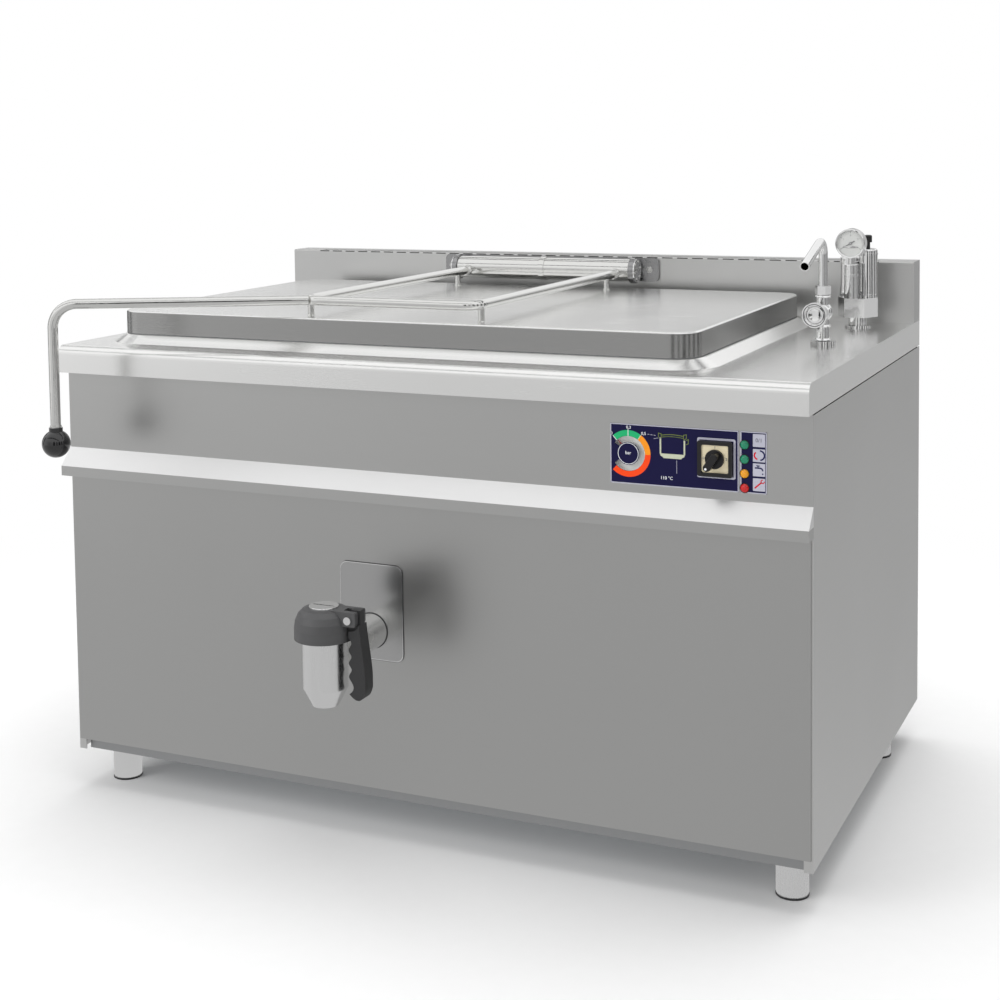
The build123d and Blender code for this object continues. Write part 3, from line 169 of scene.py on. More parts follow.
def begin(name):
    """Empty node tree of a new material, and the link that lays a pattern by the object's own place."""
    material = bpy.data.materials.new(name)
    material.use_nodes = True
    tree = material.node_tree
    tree.nodes.clear()
    return tree, {"Vector": add(tree, "TexCoord").outputs["Object"]}


def finish(tree, shader):
    """Shader joined to the material's output."""
    add(tree, "OutputMaterial", None, {"Surface": shader})


def rays(tree, *kinds):
    """One where the ray is of any of these kinds, and nought elsewhere: the sum of their shares."""
    path = add(tree, "LightPath")
    total = path.outputs[f"Is {kinds[0]} Ray"]
    for kind in kinds[1:]:
        total = add(tree, "Math", {"operation": "ADD", "use_clamp": True},
                    {0: total, 1: path.outputs[f"Is {kind} Ray"]}).outputs[0]
    return total


def toned(tree, base, share, factor):
    """Colour, from a hex code or linear, that drifts a share darker and lighter with a factor."""
    base = linear(base)[:3] if isinstance(base, str) else base
    dark = [value * (1 - share) for value in base] + [1.0]
    light = [min(1.0, value * (1 + share)) for value in base] + [1.0]
    return add(tree, "Mix", {"data_type": "RGBA", 6: dark, 7: light}, {0: factor}).outputs[2]


def surface(tree, settings, tone=None, relief=None, roughness=None):
    """Skin with settings that are even all over, and what varies on it, joined to the output.

    A relief is its strength, its depth in millimetres and its height. A roughness is the noise that it
    follows and the two ends of its range, which the noise's usual values are spread over.
    """
    links = {} if tone is None else {"Base Color": tone}
    if relief:
        strength, depth, height = relief
        links["Normal"] = add(tree, "Bump", {"Strength": strength, "Distance": depth * MM},
                              {"Height": height})
    if roughness:
        noise, start, stop = roughness
        links["Roughness"] = add(tree, "MapRange", {"From Min": 0.3, "From Max": 0.7, "To Min": start,
                                                    "To Max": stop}, {"Value": noise})
    finish(tree, add(tree, "BsdfPrincipled", settings, links))


def brushed_sheet(name, base, roughness, grain, run=90.0, line=1.6, share=0.03, depth=0.012, bright=None):
    """Stainless sheet, cold rolled and satin brushed along one axis.

    Real brush lines are 0.05 to 0.1 mm wide. They are drawn 1.6 mm wide, so that they show.
    The lines give the sheet its soft, drawn-out reflections; a slow cloud keeps it from looking flat.
    A band between two heights may take a lighter copy of the tone. It is a painted highlight where the fold
    catches the light, on the same brushed sheet.
    """
    tree, place = begin(name)
    scale = [1 / (line * MM)] * 3
    scale[grain] = 1 / (run * MM)
    along = add(tree, "Mapping", {"Scale": scale}, place)
    lines = add(tree, "TexNoise", {"Scale": 1.0, "Detail": 3.0, "Roughness": 0.65}, {"Vector": along})
    # Clouds nearly 400 mm across, as the sheet's slow waves are
    cloud = add(tree, "TexNoise", {"Scale": 2.6, "Detail": 2.0, "Distortion": 0.4}, place)
    half = add(tree, "Math", {"operation": "MULTIPLY", 1: 0.5}, {0: cloud})
    mixed = add(tree, "Math", {"operation": "MULTIPLY_ADD", 1: 0.5}, {0: lines, 2: half})
    tone = toned(tree, base, share, mixed)
    # Painted highlight: between the two heights the tone is swapped for a lighter one
    if bright:
        start, stop, highlight_tone = bright
        height = add(tree, "SeparateXYZ", None, place).outputs[2]
        above = add(tree, "Math", {"operation": "GREATER_THAN", 1: start * MM}, {0: height})
        below = add(tree, "Math", {"operation": "LESS_THAN", 1: stop * MM}, {0: height})
        band = add(tree, "Math", {"operation": "MULTIPLY"}, {0: above, 1: below})
        tone = add(tree, "Mix", {"data_type": "RGBA"},
                   {0: band, 6: tone, 7: toned(tree, highlight_tone, share, mixed)}).outputs[2]
    surface(tree, {"Metallic": 1.0}, tone, (0.25, depth, lines),
            (mixed, roughness - 0.05, roughness + 0.05))


def bright_metal(name, base, roughness, mark=14.0, share=0.03, wave=0.004):
    """Metal that is ground and polished or plated.

    Near mirror, with faint smears a centimetre or two across that break up the reflections.
    """
    tree, place = begin(name)
    smear = add(tree, "TexNoise", {"Scale": 1 / (mark * MM), "Detail": 3.0, "Distortion": 0.6},
                place)
    surface(tree, {"Metallic": 1.0}, toned(tree, base, share, smear), (0.2, wave, smear),
            (smear, roughness * 0.6, roughness * 1.5))


def cast_metal(name, base, roughness, grit=1.2, share=0.06, depth=0.03):
    """Stainless casting, blasted and tumbled: a fine even grit under a satin skin.

    The real grit is about 0.2 mm. It is drawn 1.2 mm across, so that it shows.
    """
    tree, place = begin(name)
    grain = add(tree, "TexNoise", {"Scale": 1 / (grit * MM), "Detail": 2.0}, place)
    cloud = add(tree, "TexNoise", {"Scale": 1 / (45 * MM), "Detail": 2.0}, place)
    surface(tree, {"Metallic": 1.0}, toned(tree, base, share, cloud), (0.3, depth, grain),
            (cloud, roughness - 0.06, roughness + 0.06))


def moulded(name, base, roughness, grit=0.9, depth=0.02, share=0.05, coat=0.0, sheen=0.0, shine=0.5):
    """Moulded or printed surface with a fine tool grain.

    The real grain is 0.1 to 0.3 mm. It is drawn about 1 mm across, so that it shows.
    It gives plastic its slightly broken highlight, and rubber a dull one.
    """
    tree, place = begin(name)
    grain = add(tree, "TexNoise", {"Scale": 1 / (grit * MM), "Detail": 3.0}, place)
    cloud = add(tree, "TexNoise", {"Scale": 1 / (25 * MM), "Detail": 2.0}, place)
    surface(tree, {"Specular IOR Level": shine, "Coat Weight": coat, "Coat Roughness": 0.08,
                   "Sheen Weight": sheen},
            toned(tree, base, share, cloud), (0.35, depth, grain),
            (grain, roughness - 0.05, roughness + 0.05))


def lamp_lens(name, base):
    """Tinted polycarbonate lamp lens, moulded with fine rings on its inside.

    The tint is deep, the skin is glossy, and the light that enters it comes back softened.
    """
    tree, place = begin(name)
    rings = add(tree, "TexWave", {"bands_direction": "DIAGONAL", "Scale": 260.0, "Distortion": 1.0},
                place).outputs[1]
    surface(tree, {"Roughness": 0.16, "IOR": 1.58, "Subsurface Weight": 0.1, "Subsurface Scale": 0.003,
                   "Coat Weight": 0.25, "Coat Roughness": 0.05},
            toned(tree, base, 0.12, rings), (0.15, 0.05, rings))


def window(name):
    """Clear acrylic window, cast and polished: see-through with a thin bright skin and faint dust."""
    tree, place = begin(name)
    dust = add(tree, "TexNoise", {"Scale": 1 / (3 * MM), "Detail": 4.0}, place)
    surface(tree, {"Base Color": (0.9, 0.92, 0.92, 1.0), "IOR": 1.49, "Alpha": 0.16, "Coat Weight": 1.0,
                   "Coat Roughness": 0.02}, roughness=(dust, 0.03, 0.12))


def mineral_wool(name, base):
    """Needled mineral wool with a foil-free face: matted fibres about 10 mm long, dull and speckled."""
    tree, place = begin(name)
    tuft = add(tree, "TexVoronoi", {"Scale": 1 / (9 * MM)}, place)
    fibre = add(tree, "TexNoise", {"Scale": 1 / (2 * MM), "Detail": 5.0, "Distortion": 2.0}, place)
    matted = add(tree, "Math", {"operation": "ADD"}, {0: tuft, 1: fibre})
    surface(tree, {"Roughness": 0.95, "Sheen Weight": 0.3}, toned(tree, base, 0.25, fibre),
            (0.7, 1.2, matted))


# Finishes that the scene's own pieces take
CHROME = "brass_chrome_plated"
TUBE = "stainless_tube_polished"
DISC = "stainless_disc_polished"
SCREW = "nickel_plated_screw_head"
SEAM = "seam_dark_sealed"
RUBBER = "rubber_black_pressed"
ENAMEL = "dial_white_enamelled"
BLACK = "pointer_black_painted"
RIM = "polyamide_black_moulded"
GREY_PLASTIC = "polyamide_dark_grey_moulded"
CREAM = "polyamide_cream_moulded"
SILVER = "film_ink_silver"

# Screen-printing inks of the two plates: flat, even colours under the same matt film
INKS = {"green": "22b573", "orange": "ff9a1e", "red": "ff4a10", "white": "eceef2", "olive": "6f7d3c",
        "pale": "c9cdb5", "navy": "1c1d52", "grey": "6c6c78", "signal_red": "d4122c"}
WHITE, OLIVE, PALE, NAVY, GREY, SIGNAL = (
    "film_ink_" + ink for ink in ("white", "olive", "pale", "navy", "grey", "signal_red"))

# The fascia's slope takes a painted highlight between these depths below the worktop's lower edge, in
# millimetres
SLOPE_START, SLOPE_STOP = 174.0, 143.0
# The lid's flat top takes a painted highlight in the worktop's tone, from this far below the shell's highest
# point to this far above it
TOP_BELOW, TOP_ABOVE = 2.5, 5.0


def dress(nodes, maker, name, *values, **settings):
    """Makes a finish and puts it on CAD nodes."""
    maker(name, *values, **settings)
    for node in nodes.split():
        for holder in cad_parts[node].material_slots:
            holder.material = bpy.data.materials[name]


def make_finishes():
    """Every finish, named for its material and how its surface was made, and the nodes that take it."""
    paint = bpy.context.scene.kettle_colours
    apron, top = low("worktop")[2], high("lid_shell")[2]
    dress("front_panel rear_panel", brushed_sheet, "stainless_sheet_brushed_across", paint.sheet, 0.33, 0)
    dress("side_panel_left side_panel_right", brushed_sheet,
          "stainless_sheet_brushed_deep", paint.side, 0.33, 1)
    # The near-white band on the fascia's slope is a painted highlight
    dress("control_fascia", brushed_sheet, "stainless_fascia_brushed_across", "c4c4c3", 0.33, 0,
          bright=(apron - SLOPE_START, apron - SLOPE_STOP, "f2f2f2"))
    dress("worktop", brushed_sheet, "stainless_worktop_brushed_across", paint.worktop, 0.24, 0)
    dress("backsplash vent_grille", brushed_sheet, "stainless_upstand_brushed_across", "cfcfce", 0.33, 0)
    # The lid's top band, in the worktop's tone, is a painted highlight over the darker skirt
    dress("lid_shell lid_inner_skin", brushed_sheet, "stainless_lid_brushed_across", paint.lid, 0.24, 0,
          depth=0.004, bright=(top - TOP_BELOW, top + TOP_ABOVE, paint.worktop))
    dress("inner_vessel steam_jacket", brushed_sheet,
          "stainless_basin_brushed_upright", "d6d6d4", 0.30, 2, share=0.015, depth=0.004)
    dress("drain_plate", brushed_sheet, "stainless_plate_brushed_upright", "bcbcbc", 0.24, 2)
    dress("hinge_plate", brushed_sheet, "stainless_bracket_brushed_across", "a2a2a3", 0.26, 0)
    dress("drain_valve_body foot_front_left foot_front_right foot_rear_left foot_rear_right", brushed_sheet,
          "stainless_turning_brushed_upright", "ebebeb", 0.26, 2, run=60.0, share=0.06, depth=0.004)
    # Zinc coated sheet: large soft spangle instead of brush lines
    dress("bottom_tray", brushed_sheet,
          "zinc_coated_sheet_rolled", "b4b8bb", 0.45, 0, run=30.0, line=12.0, share=0.1)
    dress("base_frame support_frame", brushed_sheet, "stainless_section_milled", "a9aaab", 0.42, 0)
    dress("lid_frame lid_lever hinge_tube drain_pipe", bright_metal, TUBE, paint.tube, 0.13, wave=0.02)
    dress("tap_body tap_spout tap_handwheel safety_manifold safety_valve vacuum_valve gauge_case",
          bright_metal, CHROME, paint.plating, 0.05, mark=9.0, wave=0.25)
    dress("hinge_spindle drain_cap_plug drain_lever_pin", bright_metal, DISC, "f0f0f0", 0.16)
    bright_metal(SCREW, "c9c9c7", 0.22, mark=4.0)
    dress("water_pipe safety_pipe drain_plunger", cast_metal, "stainless_valve_turned", "cccccc", 0.28)
    dress("heating_elements", cast_metal, "steel_heater_scaled", "7d7b78", 0.5)
    # Phenolic ball knob, compression moulded: deep black with a glossy skin
    dress("lid_knob safety_valve_knob", moulded,
          "phenolic_black_moulded", "08080a", 0.14, depth=0.003, coat=0.8)
    # Polyamide switch parts, injection moulded: black and satin, with a faint drift in tone
    dress("rotary_switch switch_knob cable_gland", moulded, RIM, "141315", 0.36)
    dress("contactor_block", moulded, GREY_PLASTIC, "3a3b3d", 0.45)
    # Glass-filled polyamide of the drain valve's cap and handle: dark grey with a satin skin
    dress("drain_valve_cap", moulded, "polyamide_cap_moulded", "4b4b4c", 0.40, grit=1.1, depth=0.03)
    dress("drain_lever", moulded, "polyamide_handle_moulded", "2b2b2c", 0.42, grit=1.1, depth=0.03)
    moulded(CREAM, paint.face, 0.42, share=0.03)
    # EPDM rubber, pressed: dull black with a dusty bloom
    moulded(RUBBER, "17171a", 0.7, grit=1.5, depth=0.05, sheen=0.2)
    # Food-safe sealant drawn into the seams: thin, dark and slightly glossy
    moulded(SEAM, "3c3c3d", 0.4, depth=0.01)
    dress("lid_gasket", moulded, "silicone_grey_extruded", "8f9294", 0.55, grit=1.5, depth=0.03)
    # Polyester film, reverse printed: even colour under a fine matt texture
    dress("control_plate lamp_plate", moulded,
          "polyester_film_navy_printed", paint.plate, 0.34, depth=0.006, share=0.04, shine=0.14)
    for name, base in (("silver", paint.silver), *INKS.items()):
        moulded("film_ink_" + name, base, 0.4, depth=0.004, share=0.03, shine=0.2)
    # Aluminium dial, enamelled white: bright and flat with a slight warm tint
    dress("panel_gauge", moulded, ENAMEL, "e9e9e6", 0.38, depth=0.004, share=0.02)
    dress("gauge_needle", moulded, BLACK, "101012", 0.4, depth=0.004)
    dress("panel_gauge_pointer", moulded, "pointer_red_painted", "c01a1a", 0.4, depth=0.004)
    dress("lamp_power lamp_heating", lamp_lens, "polycarbonate_green_moulded", paint.running)
    dress("lamp_water", lamp_lens, "polycarbonate_amber_moulded", paint.filling)
    dress("lamp_fault", lamp_lens, "polycarbonate_red_moulded", paint.fault)
    dress("gauge_lens", window, "acrylic_clear_cast")
    dress("insulation", mineral_wool, "mineral_wool_needled", "a39f7c")


# ---- shapes


def grid_faces(rows, columns, wrap_rows, wrap_columns):
    """Quads of a grid: each joins a point to its neighbours along the row and the column."""
    down = np.arange(rows if wrap_rows else rows - 1)
    across = np.arange(columns if wrap_columns else columns - 1)
    row, column = np.meshgrid(down, across, indexing="ij")
    below, beside = (row + 1) % rows, (column + 1) % columns
    quads = np.stack([row * columns + column, below * columns + column,
                      below * columns + beside, row * columns + beside], axis=-1)
    return quads.reshape(-1, 4).tolist()


def put(name, data):
    """New object at the origin that shows a mesh, figures, a lamp or the camera's lens."""
    item = bpy.data.objects.new(name, data)
    bpy.context.scene.collection.objects.link(item)
    return item


def place_mesh(name, mesh, material, body):
    """Object that carries a mesh, its finish and the body that it moves with."""
    mesh.materials.clear()
    mesh.materials.append(bpy.data.materials[material])
    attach(put(name, mesh), body)


def solid(name, points, faces, material, body="cabinet"):
    """Closed mesh from points in millimetres: doubles merged, faces turned outward, edges kept."""
    mesh = bpy.data.meshes.new(name)
    mesh.from_pydata((np.asarray(points).reshape(-1, 3) * MM).tolist(), [], faces)
    shape = bmesh.new()
    shape.from_mesh(mesh)
    bmesh.ops.remove_doubles(shape, verts=shape.verts, dist=1e-6)
    bmesh.ops.recalc_face_normals(shape, faces=shape.faces)
    shape.to_mesh(mesh)
    shape.free()
    mesh.shade_smooth()
    mesh.set_sharp_from_angle(angle=math.radians(32))
    place_mesh(name, mesh, material, body)


# Sideways, upward and lengthwise directions of a turned piece, by the way that it points
WAYS = {
    "+x": ((0, 1, 0), (0, 0, 1), (1, 0, 0)),
    "-x": ((0, 0, 1), (0, 1, 0), (-1, 0, 0)),
    "+y": ((0, 0, 1), (1, 0, 0), (0, 1, 0)),
    "-y": ((1, 0, 0), (0, 0, 1), (0, -1, 0)),
    "+z": ((1, 0, 0), (0, 1, 0), (0, 0, 1)),
}


def turned(name, profile, centre, way, material, body="cabinet", segments=48):
    """Profile of radius and height pairs, carried once round an axis.

    A point lies at centre + radius (cos t side + sin t up) + height along. A profile that starts
    away from the axis is a closed loop, so its last row joins its first.
    """
    profile = np.array(profile, float)
    side, up, along = (np.array(vector, float) for vector in WAYS[way])
    turn = np.linspace(0, 2 * np.pi, segments, endpoint=False)
    ring = np.cos(turn)[:, None] * side + np.sin(turn)[:, None] * up
    points = profile[:, 0][:, None, None] * ring + profile[:, 1][:, None, None] * along
    faces = grid_faces(len(profile), segments, profile[0, 0] > 0, True)
    solid(name, points + np.asarray(centre, float), faces, material, body)


def arc(x, z, radius, start, stop, steps=40):
    """Points of an arc, with angles in degrees clockwise from twelve o'clock."""
    turn = np.radians(np.linspace(start, stop, steps))
    return np.stack([x + radius * np.sin(turn), z + radius * np.cos(turn)], axis=1)


def spoke(x, z, inner, outer, angle):
    """The two ends of a tick that points at a centre."""
    return np.vstack([arc(x, z, radius, angle, angle, 1) for radius in (inner, outer)])


def box_path(x, z, width, height, corner=0.5, steps=5):
    """Closed path round a rectangle with rounded corners."""
    turn = np.radians(np.linspace(0, 90, steps))
    bend = corner * np.stack([np.sin(turn), np.cos(turn)], axis=1)
    reach = np.array([width / 2 - corner, height / 2 - corner])
    signs = [((1, 1), False), ((1, -1), True), ((-1, -1), False), ((-1, 1), True)]
    parts = [(bend[::-1] if back else bend) * sign + reach * sign for sign, back in signs]
    return np.concatenate(parts) + np.array([x, z])


def layered(rows):
    """Rows of upright paths, each at its own depth, as one array of points."""
    return [np.stack([path[:, 0], np.full(len(path), y), path[:, 1]], axis=1) for path, y in rows]


def printed_line(name, path, width, face, material, closed=False, depth=None):
    """Raised line of even width on an upright front face.

    Each point of the path is moved half the width to both sides along the mitre of its two
    neighbouring runs, and the four edges of the section are carried along the path.
    """
    depth = depth or size("print_depth")
    path = np.asarray(path, float)
    steps = np.diff(np.vstack([path, path[:1]]) if closed else path, axis=0)
    normals = np.stack([-steps[:, 1], steps[:, 0]], axis=1) / np.linalg.norm(steps, axis=1)[:, None]
    before = np.vstack([normals[-1:] if closed else normals[:1], normals])[:len(path)]
    after = np.vstack([normals, normals[-1:]])[:len(path)]
    mitre = before + after
    mitre /= (mitre * mitre).sum(axis=1)[:, None] / 2
    left, right = path + mitre * width / 2, path - mitre * width / 2
    rows = layered([(left, face), (right, face), (right, face - depth), (left, face - depth)])
    faces = grid_faces(len(path), 4, closed, True)
    if not closed:
        last = 4 * (len(path) - 1)
        faces += [[0, 1, 2, 3], [last + 3, last + 2, last + 1, last]]
    solid(name, np.stack(rows, axis=1), faces, material)


def printed_plate(name, outline, face, material):
    """Flat print on an upright front face: an outline given depth towards the front."""
    outline = np.asarray(outline, float)
    count = len(outline)
    faces = grid_faces(2, count, False, True)
    faces += [list(range(count)), list(range(2 * count - 1, count - 1, -1))]
    rows = layered([(outline, face), (outline, face - size("print_depth"))])
    solid(name, np.stack(rows), faces, material)


def figure(name, text, height, x, z, face, material):
    """Figures as a raised print, centred on a place of an upright front face."""
    depth = size("print_depth")
    curve = bpy.data.curves.new(name, "FONT")
    curve.body = text
    curve.size = height * MM
    curve.align_x = "CENTER"
    curve.align_y = "CENTER"
    curve.resolution_u = 4
    curve.offset = height * 0.008 * MM
    curve.extrude = depth / 2 * MM
    draft = put(name + "_draft", curve)
    graph = bpy.context.evaluated_depsgraph_get()
    mesh = bpy.data.meshes.new_from_object(draft.evaluated_get(graph))
    bpy.data.objects.remove(draft)
    upright = Matrix.Rotation(math.radians(90), 4, "X")
    mesh.transform(Matrix.Translation(Vector((x, face - depth / 2, z)) * MM) @ upright)
    place_mesh(name, mesh, material, "cabinet")


# ---- pieces


class NodeFinishes(Operator):
    """Gives every CAD node its finish"""

    bl_idname = "kettle.node_finishes"
    bl_label = "Finishes"

    def execute(self, context):
        packed = set(bpy.data.materials)
        make_finishes()
        bare = [node for node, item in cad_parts.items()
                if any(holder.material in packed for holder in item.material_slots)]
        if bare:
            raise RuntimeError("no finish for " + ", ".join(bare))
        return {"FINISHED"}


class PressurePrint(Operator):
    """Coloured band, ticks and figures of the panel's pressure dial"""

    bl_idname = "kettle.pressure_print"
    bl_label = "Pressure print"

    def execute(self, context):
        face = low("control_plate")[1]
        over = face - size("print_depth")
        x, _, z = middle("panel_gauge")
        inner, outer, tall = size("band_inner"), size("band_outer"), size("numeral_height")
        for ink, start, stop in (("green", -43, 35), ("orange", 35, 90), ("red", 90, 224)):
            printed_line("band_" + ink, arc(x, z, (inner + outer) / 2, start, stop), outer - inner, face,
                         "film_ink_" + ink)
        for name, angle, more, ink in (
                ("zero", -43, 0, WHITE), ("low", 0, 1.5, WHITE), ("high", 35, 0, PALE)):
            printed_line("band_tick_" + name, spoke(x, z, inner, outer + more, angle), 1.0, over, ink)
        printed_line("dial_ring", arc(x, z, 16.9, 0, 360, 73)[:-1], 0.9, face, WHITE, True)
        figure("dial_unit", "bar", tall, x, z + 1, face, WHITE)
        for name, text, along, up in (
                ("zero", "0", -28, 31), ("low", "0,3", 1, 42), ("high", "0,5", 26, 33.5)):
            figure("dial_figure_" + name, text, tall - 0.8, x + along, z + up, face, WHITE)
        return {"FINISHED"}


class VesselPrint(Operator):
    """Outline of the vessel, its leader lines and the temperature figure"""

    bl_idname = "kettle.vessel_print"
    bl_label = "Vessel print"

    def execute(self, context):
        face = low("control_plate")[1]
        left, right, top, bottom = 456.0, 495.5, 739.0, 709.0
        wall = [(left, top), (left, bottom + 5), (left + 1.5, bottom + 1.5), (left + 5, bottom),
                (right - 5, bottom), (right - 1.5, bottom + 1.5), (right, bottom + 5), (right, top - 3)]
        printed_line("vessel_wall", wall, 2.6, face, PALE)
        floor = [(left + 1, bottom + 4.5), (left + 5, bottom - 2.8), (right - 5, bottom - 2.8),
                 (right - 1, bottom + 4.5)]
        printed_plate("vessel_floor", floor, face - 0.02, PALE)
        # The lid is a parabola that rises 1.6 mm over its half width of 17.5 mm
        rise = np.linspace(-1, 1, 15)
        cover = np.stack([(left + right) / 2 + rise * 17.5, 742.6 + 1.6 * (1 - rise ** 2)], axis=1)
        clips = [[(at - way * 2.6, 738.6), (at - way * 2.6, 744.5), (at + way * 2.0, 745.6),
                  (at + way * 2.0, 739.5), (at - way * 1.0, 737.4)]
                 for at, way in ((left - 1.2, -1), (right + 1.2, 1))]
        hook = [(right + 3, 736.5), (right + 6.4, 738.2), (right + 6.4, 731.5), (right + 2.4, 729.6)]
        dash = np.array([(434.5, 742.6), (437.7, 742.3)])
        for name, path, width, ink in (
                ("vessel_lid", cover, 1.2, OLIVE), ("vessel_lid_line", cover - (0, 3.2), 0.8, OLIVE),
                ("vessel_clip_left", clips[0], 1.1, OLIVE), ("vessel_clip_right", clips[1], 1.1, OLIVE),
                ("vessel_hook", hook, 1.1, OLIVE), ("leader_dash_0", dash, 0.8, SILVER),
                ("leader_dash_1", dash + (5.2, -0.5), 0.8, SILVER),
                ("leader_dash_2", dash + (10.4, -1.0), 0.8, SILVER),
                ("leader_side", [(445.0, 736.2), (452.6, 737.6)], 0.6, SILVER),
                ("leader_down", [(482.8, 704.0), (482.8, 683.0)], 0.6, SILVER)):
            printed_line(name, path, width, face, ink, "clip" in name)
        figure("temperature_figure", "110 °C", 7.2, 466.0, 674.5, face, WHITE)
        return {"FINISHED"}


class PlateBorders(Operator):
    """Bright borders of the two printed plates and of the switch"""

    bl_idname = "kettle.plate_borders"
    bl_label = "Plate borders"

    def execute(self, context):
        width = size("border_width")
        for node in ("control_plate", "lamp_plate"):
            x, face, z = low(node)
            across, _, tall = high(node) - low(node)
            path = box_path(x + across / 2, z + tall / 2, across - width, tall - width, 1.0)
            printed_line(node + "_border", path, width, face, SILVER, True)
        x, _, z = middle("rotary_switch")
        path = box_path(x + 1.3, z + 0.7, 58.6, 59.6, 1.6)
        printed_line("switch_border", path, 3.4, low("control_plate")[1], SILVER, True)
        return {"FINISHED"}


class SwitchFace(Operator):
    """Cream face of the switch with its figures, and the white mark on the knob"""

    bl_idname = "kettle.switch_face"
    bl_label = "Switch face"

    def execute(self, context):
        x, _, z = middle("rotary_switch")
        seat = low("rotary_switch")[1] + 3.0
        front = seat - 0.25
        # A square with a round hole: each point of a circle is also moved out to the square's side
        hole, half, steps = 3.6, 21.8, 60
        ring = arc(0, 0, 1, 0, 360, steps + 1)[:-1]
        square = half / np.abs(ring).max(axis=1)[:, None] * ring + (x, z)
        circle = hole * ring + (x, z)
        rows = layered([(circle, seat), (square, seat), (square, front), (circle, front)])
        solid("switch_face", np.stack(rows, axis=1), grid_faces(steps, 4, True, True), CREAM)
        for name, text, along, up in (
                ("off", "0", -18.3, 0.5), ("one", "1", 0, 18.2), ("two", "2", 18.3, 0.5)):
            figure("switch_figure_" + name, text, 5.6, x + along, z + up, front, GREY)
        reach, rest = 15.6, 215
        across, up = arc(x, z, reach, rest, rest, 1)[0]
        dot = [(0, 0), (1.9, 0), (1.9, 0.1), (1.6, 0.2), (0, 0.2)]
        turned("knob_mark", dot, (across, low("switch_knob")[1], up), "-y", WHITE, "selector", 24)
        return {"FINISHED"}


class LampSigns(Operator):
    """Four light squares beside the lamps, each with a plain sign, and a dark rim round each lamp"""

    bl_idname = "kettle.lamp_signs"
    bl_label = "Lamp signs"

    def execute(self, context):
        face = low("lamp_plate")[1]
        over = face - size("print_depth")
        x = 615.3
        power, heat, water, fault = heights = (743.9, 720.6, 698.2, 675.1)
        for place, z in enumerate(heights):
            printed_plate(f"sign_square_{place}", box_path(x, z, 19.2, 20.0, 0.8), face, SILVER)
        figure("sign_figures", "0/1", 8.6, x, power, over, GREY)
        spout = np.vstack([[(x - 6.5, water + 3.0)], [(x + 1.5, water + 3.0)],
                           arc(x + 1.5, water - 1.5, 4.5, 5, 90, 9)])
        for name, path, width, ink in (
                ("arc_hot", arc(x - 1.5, heat, 5.8, 190, 325), 2.4, SIGNAL),
                ("arc_full", arc(x + 1.5, heat + 0.3, 7.2, 0, 175), 2.4, NAVY),
                ("tap_spout", spout, 2.2, NAVY),
                ("tap_handle", [(x - 4.2, water + 6.4), (x + 1.2, water + 6.4)], 1.6, NAVY),
                ("tap_stem", [(x - 1.5, water + 3), (x - 1.5, water + 6.4)], 1.4, NAVY)):
            printed_line("sign_" + name, path, width, over, ink)
        printed_plate("sign_tap_drop", arc(x + 5.9, water - 6.0, 1.2, 0, 360, 17)[:-1], over, NAVY)
        shaft = [(x - 6.8, fault - 5.6), (x + 4.0, fault + 3.8)]
        printed_line("sign_spanner_shaft", shaft, 2.3, over, SIGNAL)
        printed_line("sign_spanner_jaw", arc(x + 5.8, fault + 5.3, 2.6, 80, 370, 21), 1.5, over, SIGNAL)
        rim = [(7.05, 0), (7.9, 0), (7.9, 0.5), (7.5, 0.9), (7.05, 0.9)]
        for node in ("lamp_power", "lamp_heating", "lamp_water", "lamp_fault"):
            x, _, z = middle(node)
            turned(node + "_rim", rim, (x, face, z), "-y", RIM)
        return {"FINISHED"}


class GaugeDial(Operator):
    """Enamelled dial, ticks, figures and rolled rim of the safety group's gauge"""

    bl_idname = "kettle.gauge_dial"
    bl_label = "Gauge dial"

    def execute(self, context):
        x, _, z = middle("gauge_lens")
        front = low("gauge_lens")[1]
        back = front + 5.0
        face = back - 0.2
        turned("gauge_dial", [(1.5, 0), (25.2, 0), (25.2, 0.2), (1.5, 0.2)], (x, back, z), "-y", ENAMEL,
               segments=72)
        # The scale runs over 240 degrees, with a long and wide tick at each figure
        count = context.scene.kettle_sizes.dial_ticks
        for place in range(count):
            inner, width = (19.0, 0.8) if place % 6 == 0 else (20.8, 0.4)
            path = spoke(x, z, inner, 22.8, -120 + 240 * place / (count - 1))
            printed_line(f"gauge_tick_{place:02d}", path, width, face, BLACK)
        for place, text in enumerate("01234"):
            spot = arc(x, z, 15.6, -120 + 60 * place, -120 + 60 * place, 1)[0]
            figure("gauge_figure_" + text, text, 5.0, spot[0], spot[1], face, BLACK)
        rim = [(25.0, -0.4), (27.6, -0.4), (28.0, 0.8), (27.9, 2.0), (27.2, 2.6), (26.0, 2.2), (25.0, 1.0)]
        turned("gauge_rim", rim, (x, front, z), "-y", CHROME, segments=96)
        return {"FINISHED"}


class HingeBolts(Operator):
    """Bolt heads on the hinge's end discs and on its back plate"""

    bl_idname = "kettle.hinge_bolts"
    bl_label = "Hinge bolts"

    def execute(self, context):
        # Low domed head on a flat washer, for a radius of one
        head = np.array([(0, 0), (1.45, 0), (1.45, 0.2), (1, 0.25), (1, 0.7), (0.8, 0.95), (0, 1.05)])
        radius, circle, skin = size("bolt_radius"), 18.5, 6.0
        _, y, z = middle("hinge_spindle")
        for side, way, x in (
                ("left", "-x", low("hinge_spindle")[0]), ("right", "+x", high("hinge_spindle")[0])):
            for place in range(6):
                turn = math.radians(60 * place + 15)
                spot = (x, y + circle * math.cos(turn), z + circle * math.sin(turn))
                turned(f"hinge_bolt_{side}_{place}", radius * 0.7 * head, spot, way, SCREW, segments=24)
        face = high("hinge_plate")[1] - skin
        for side, x in (("left", low("hinge_plate")[0] + 16), ("right", high("hinge_plate")[0] - 20)):
            turned("plate_bolt_" + side, radius * 1.7 * head, (x, face, z), "-y", SCREW, segments=6)
        return {"FINISHED"}


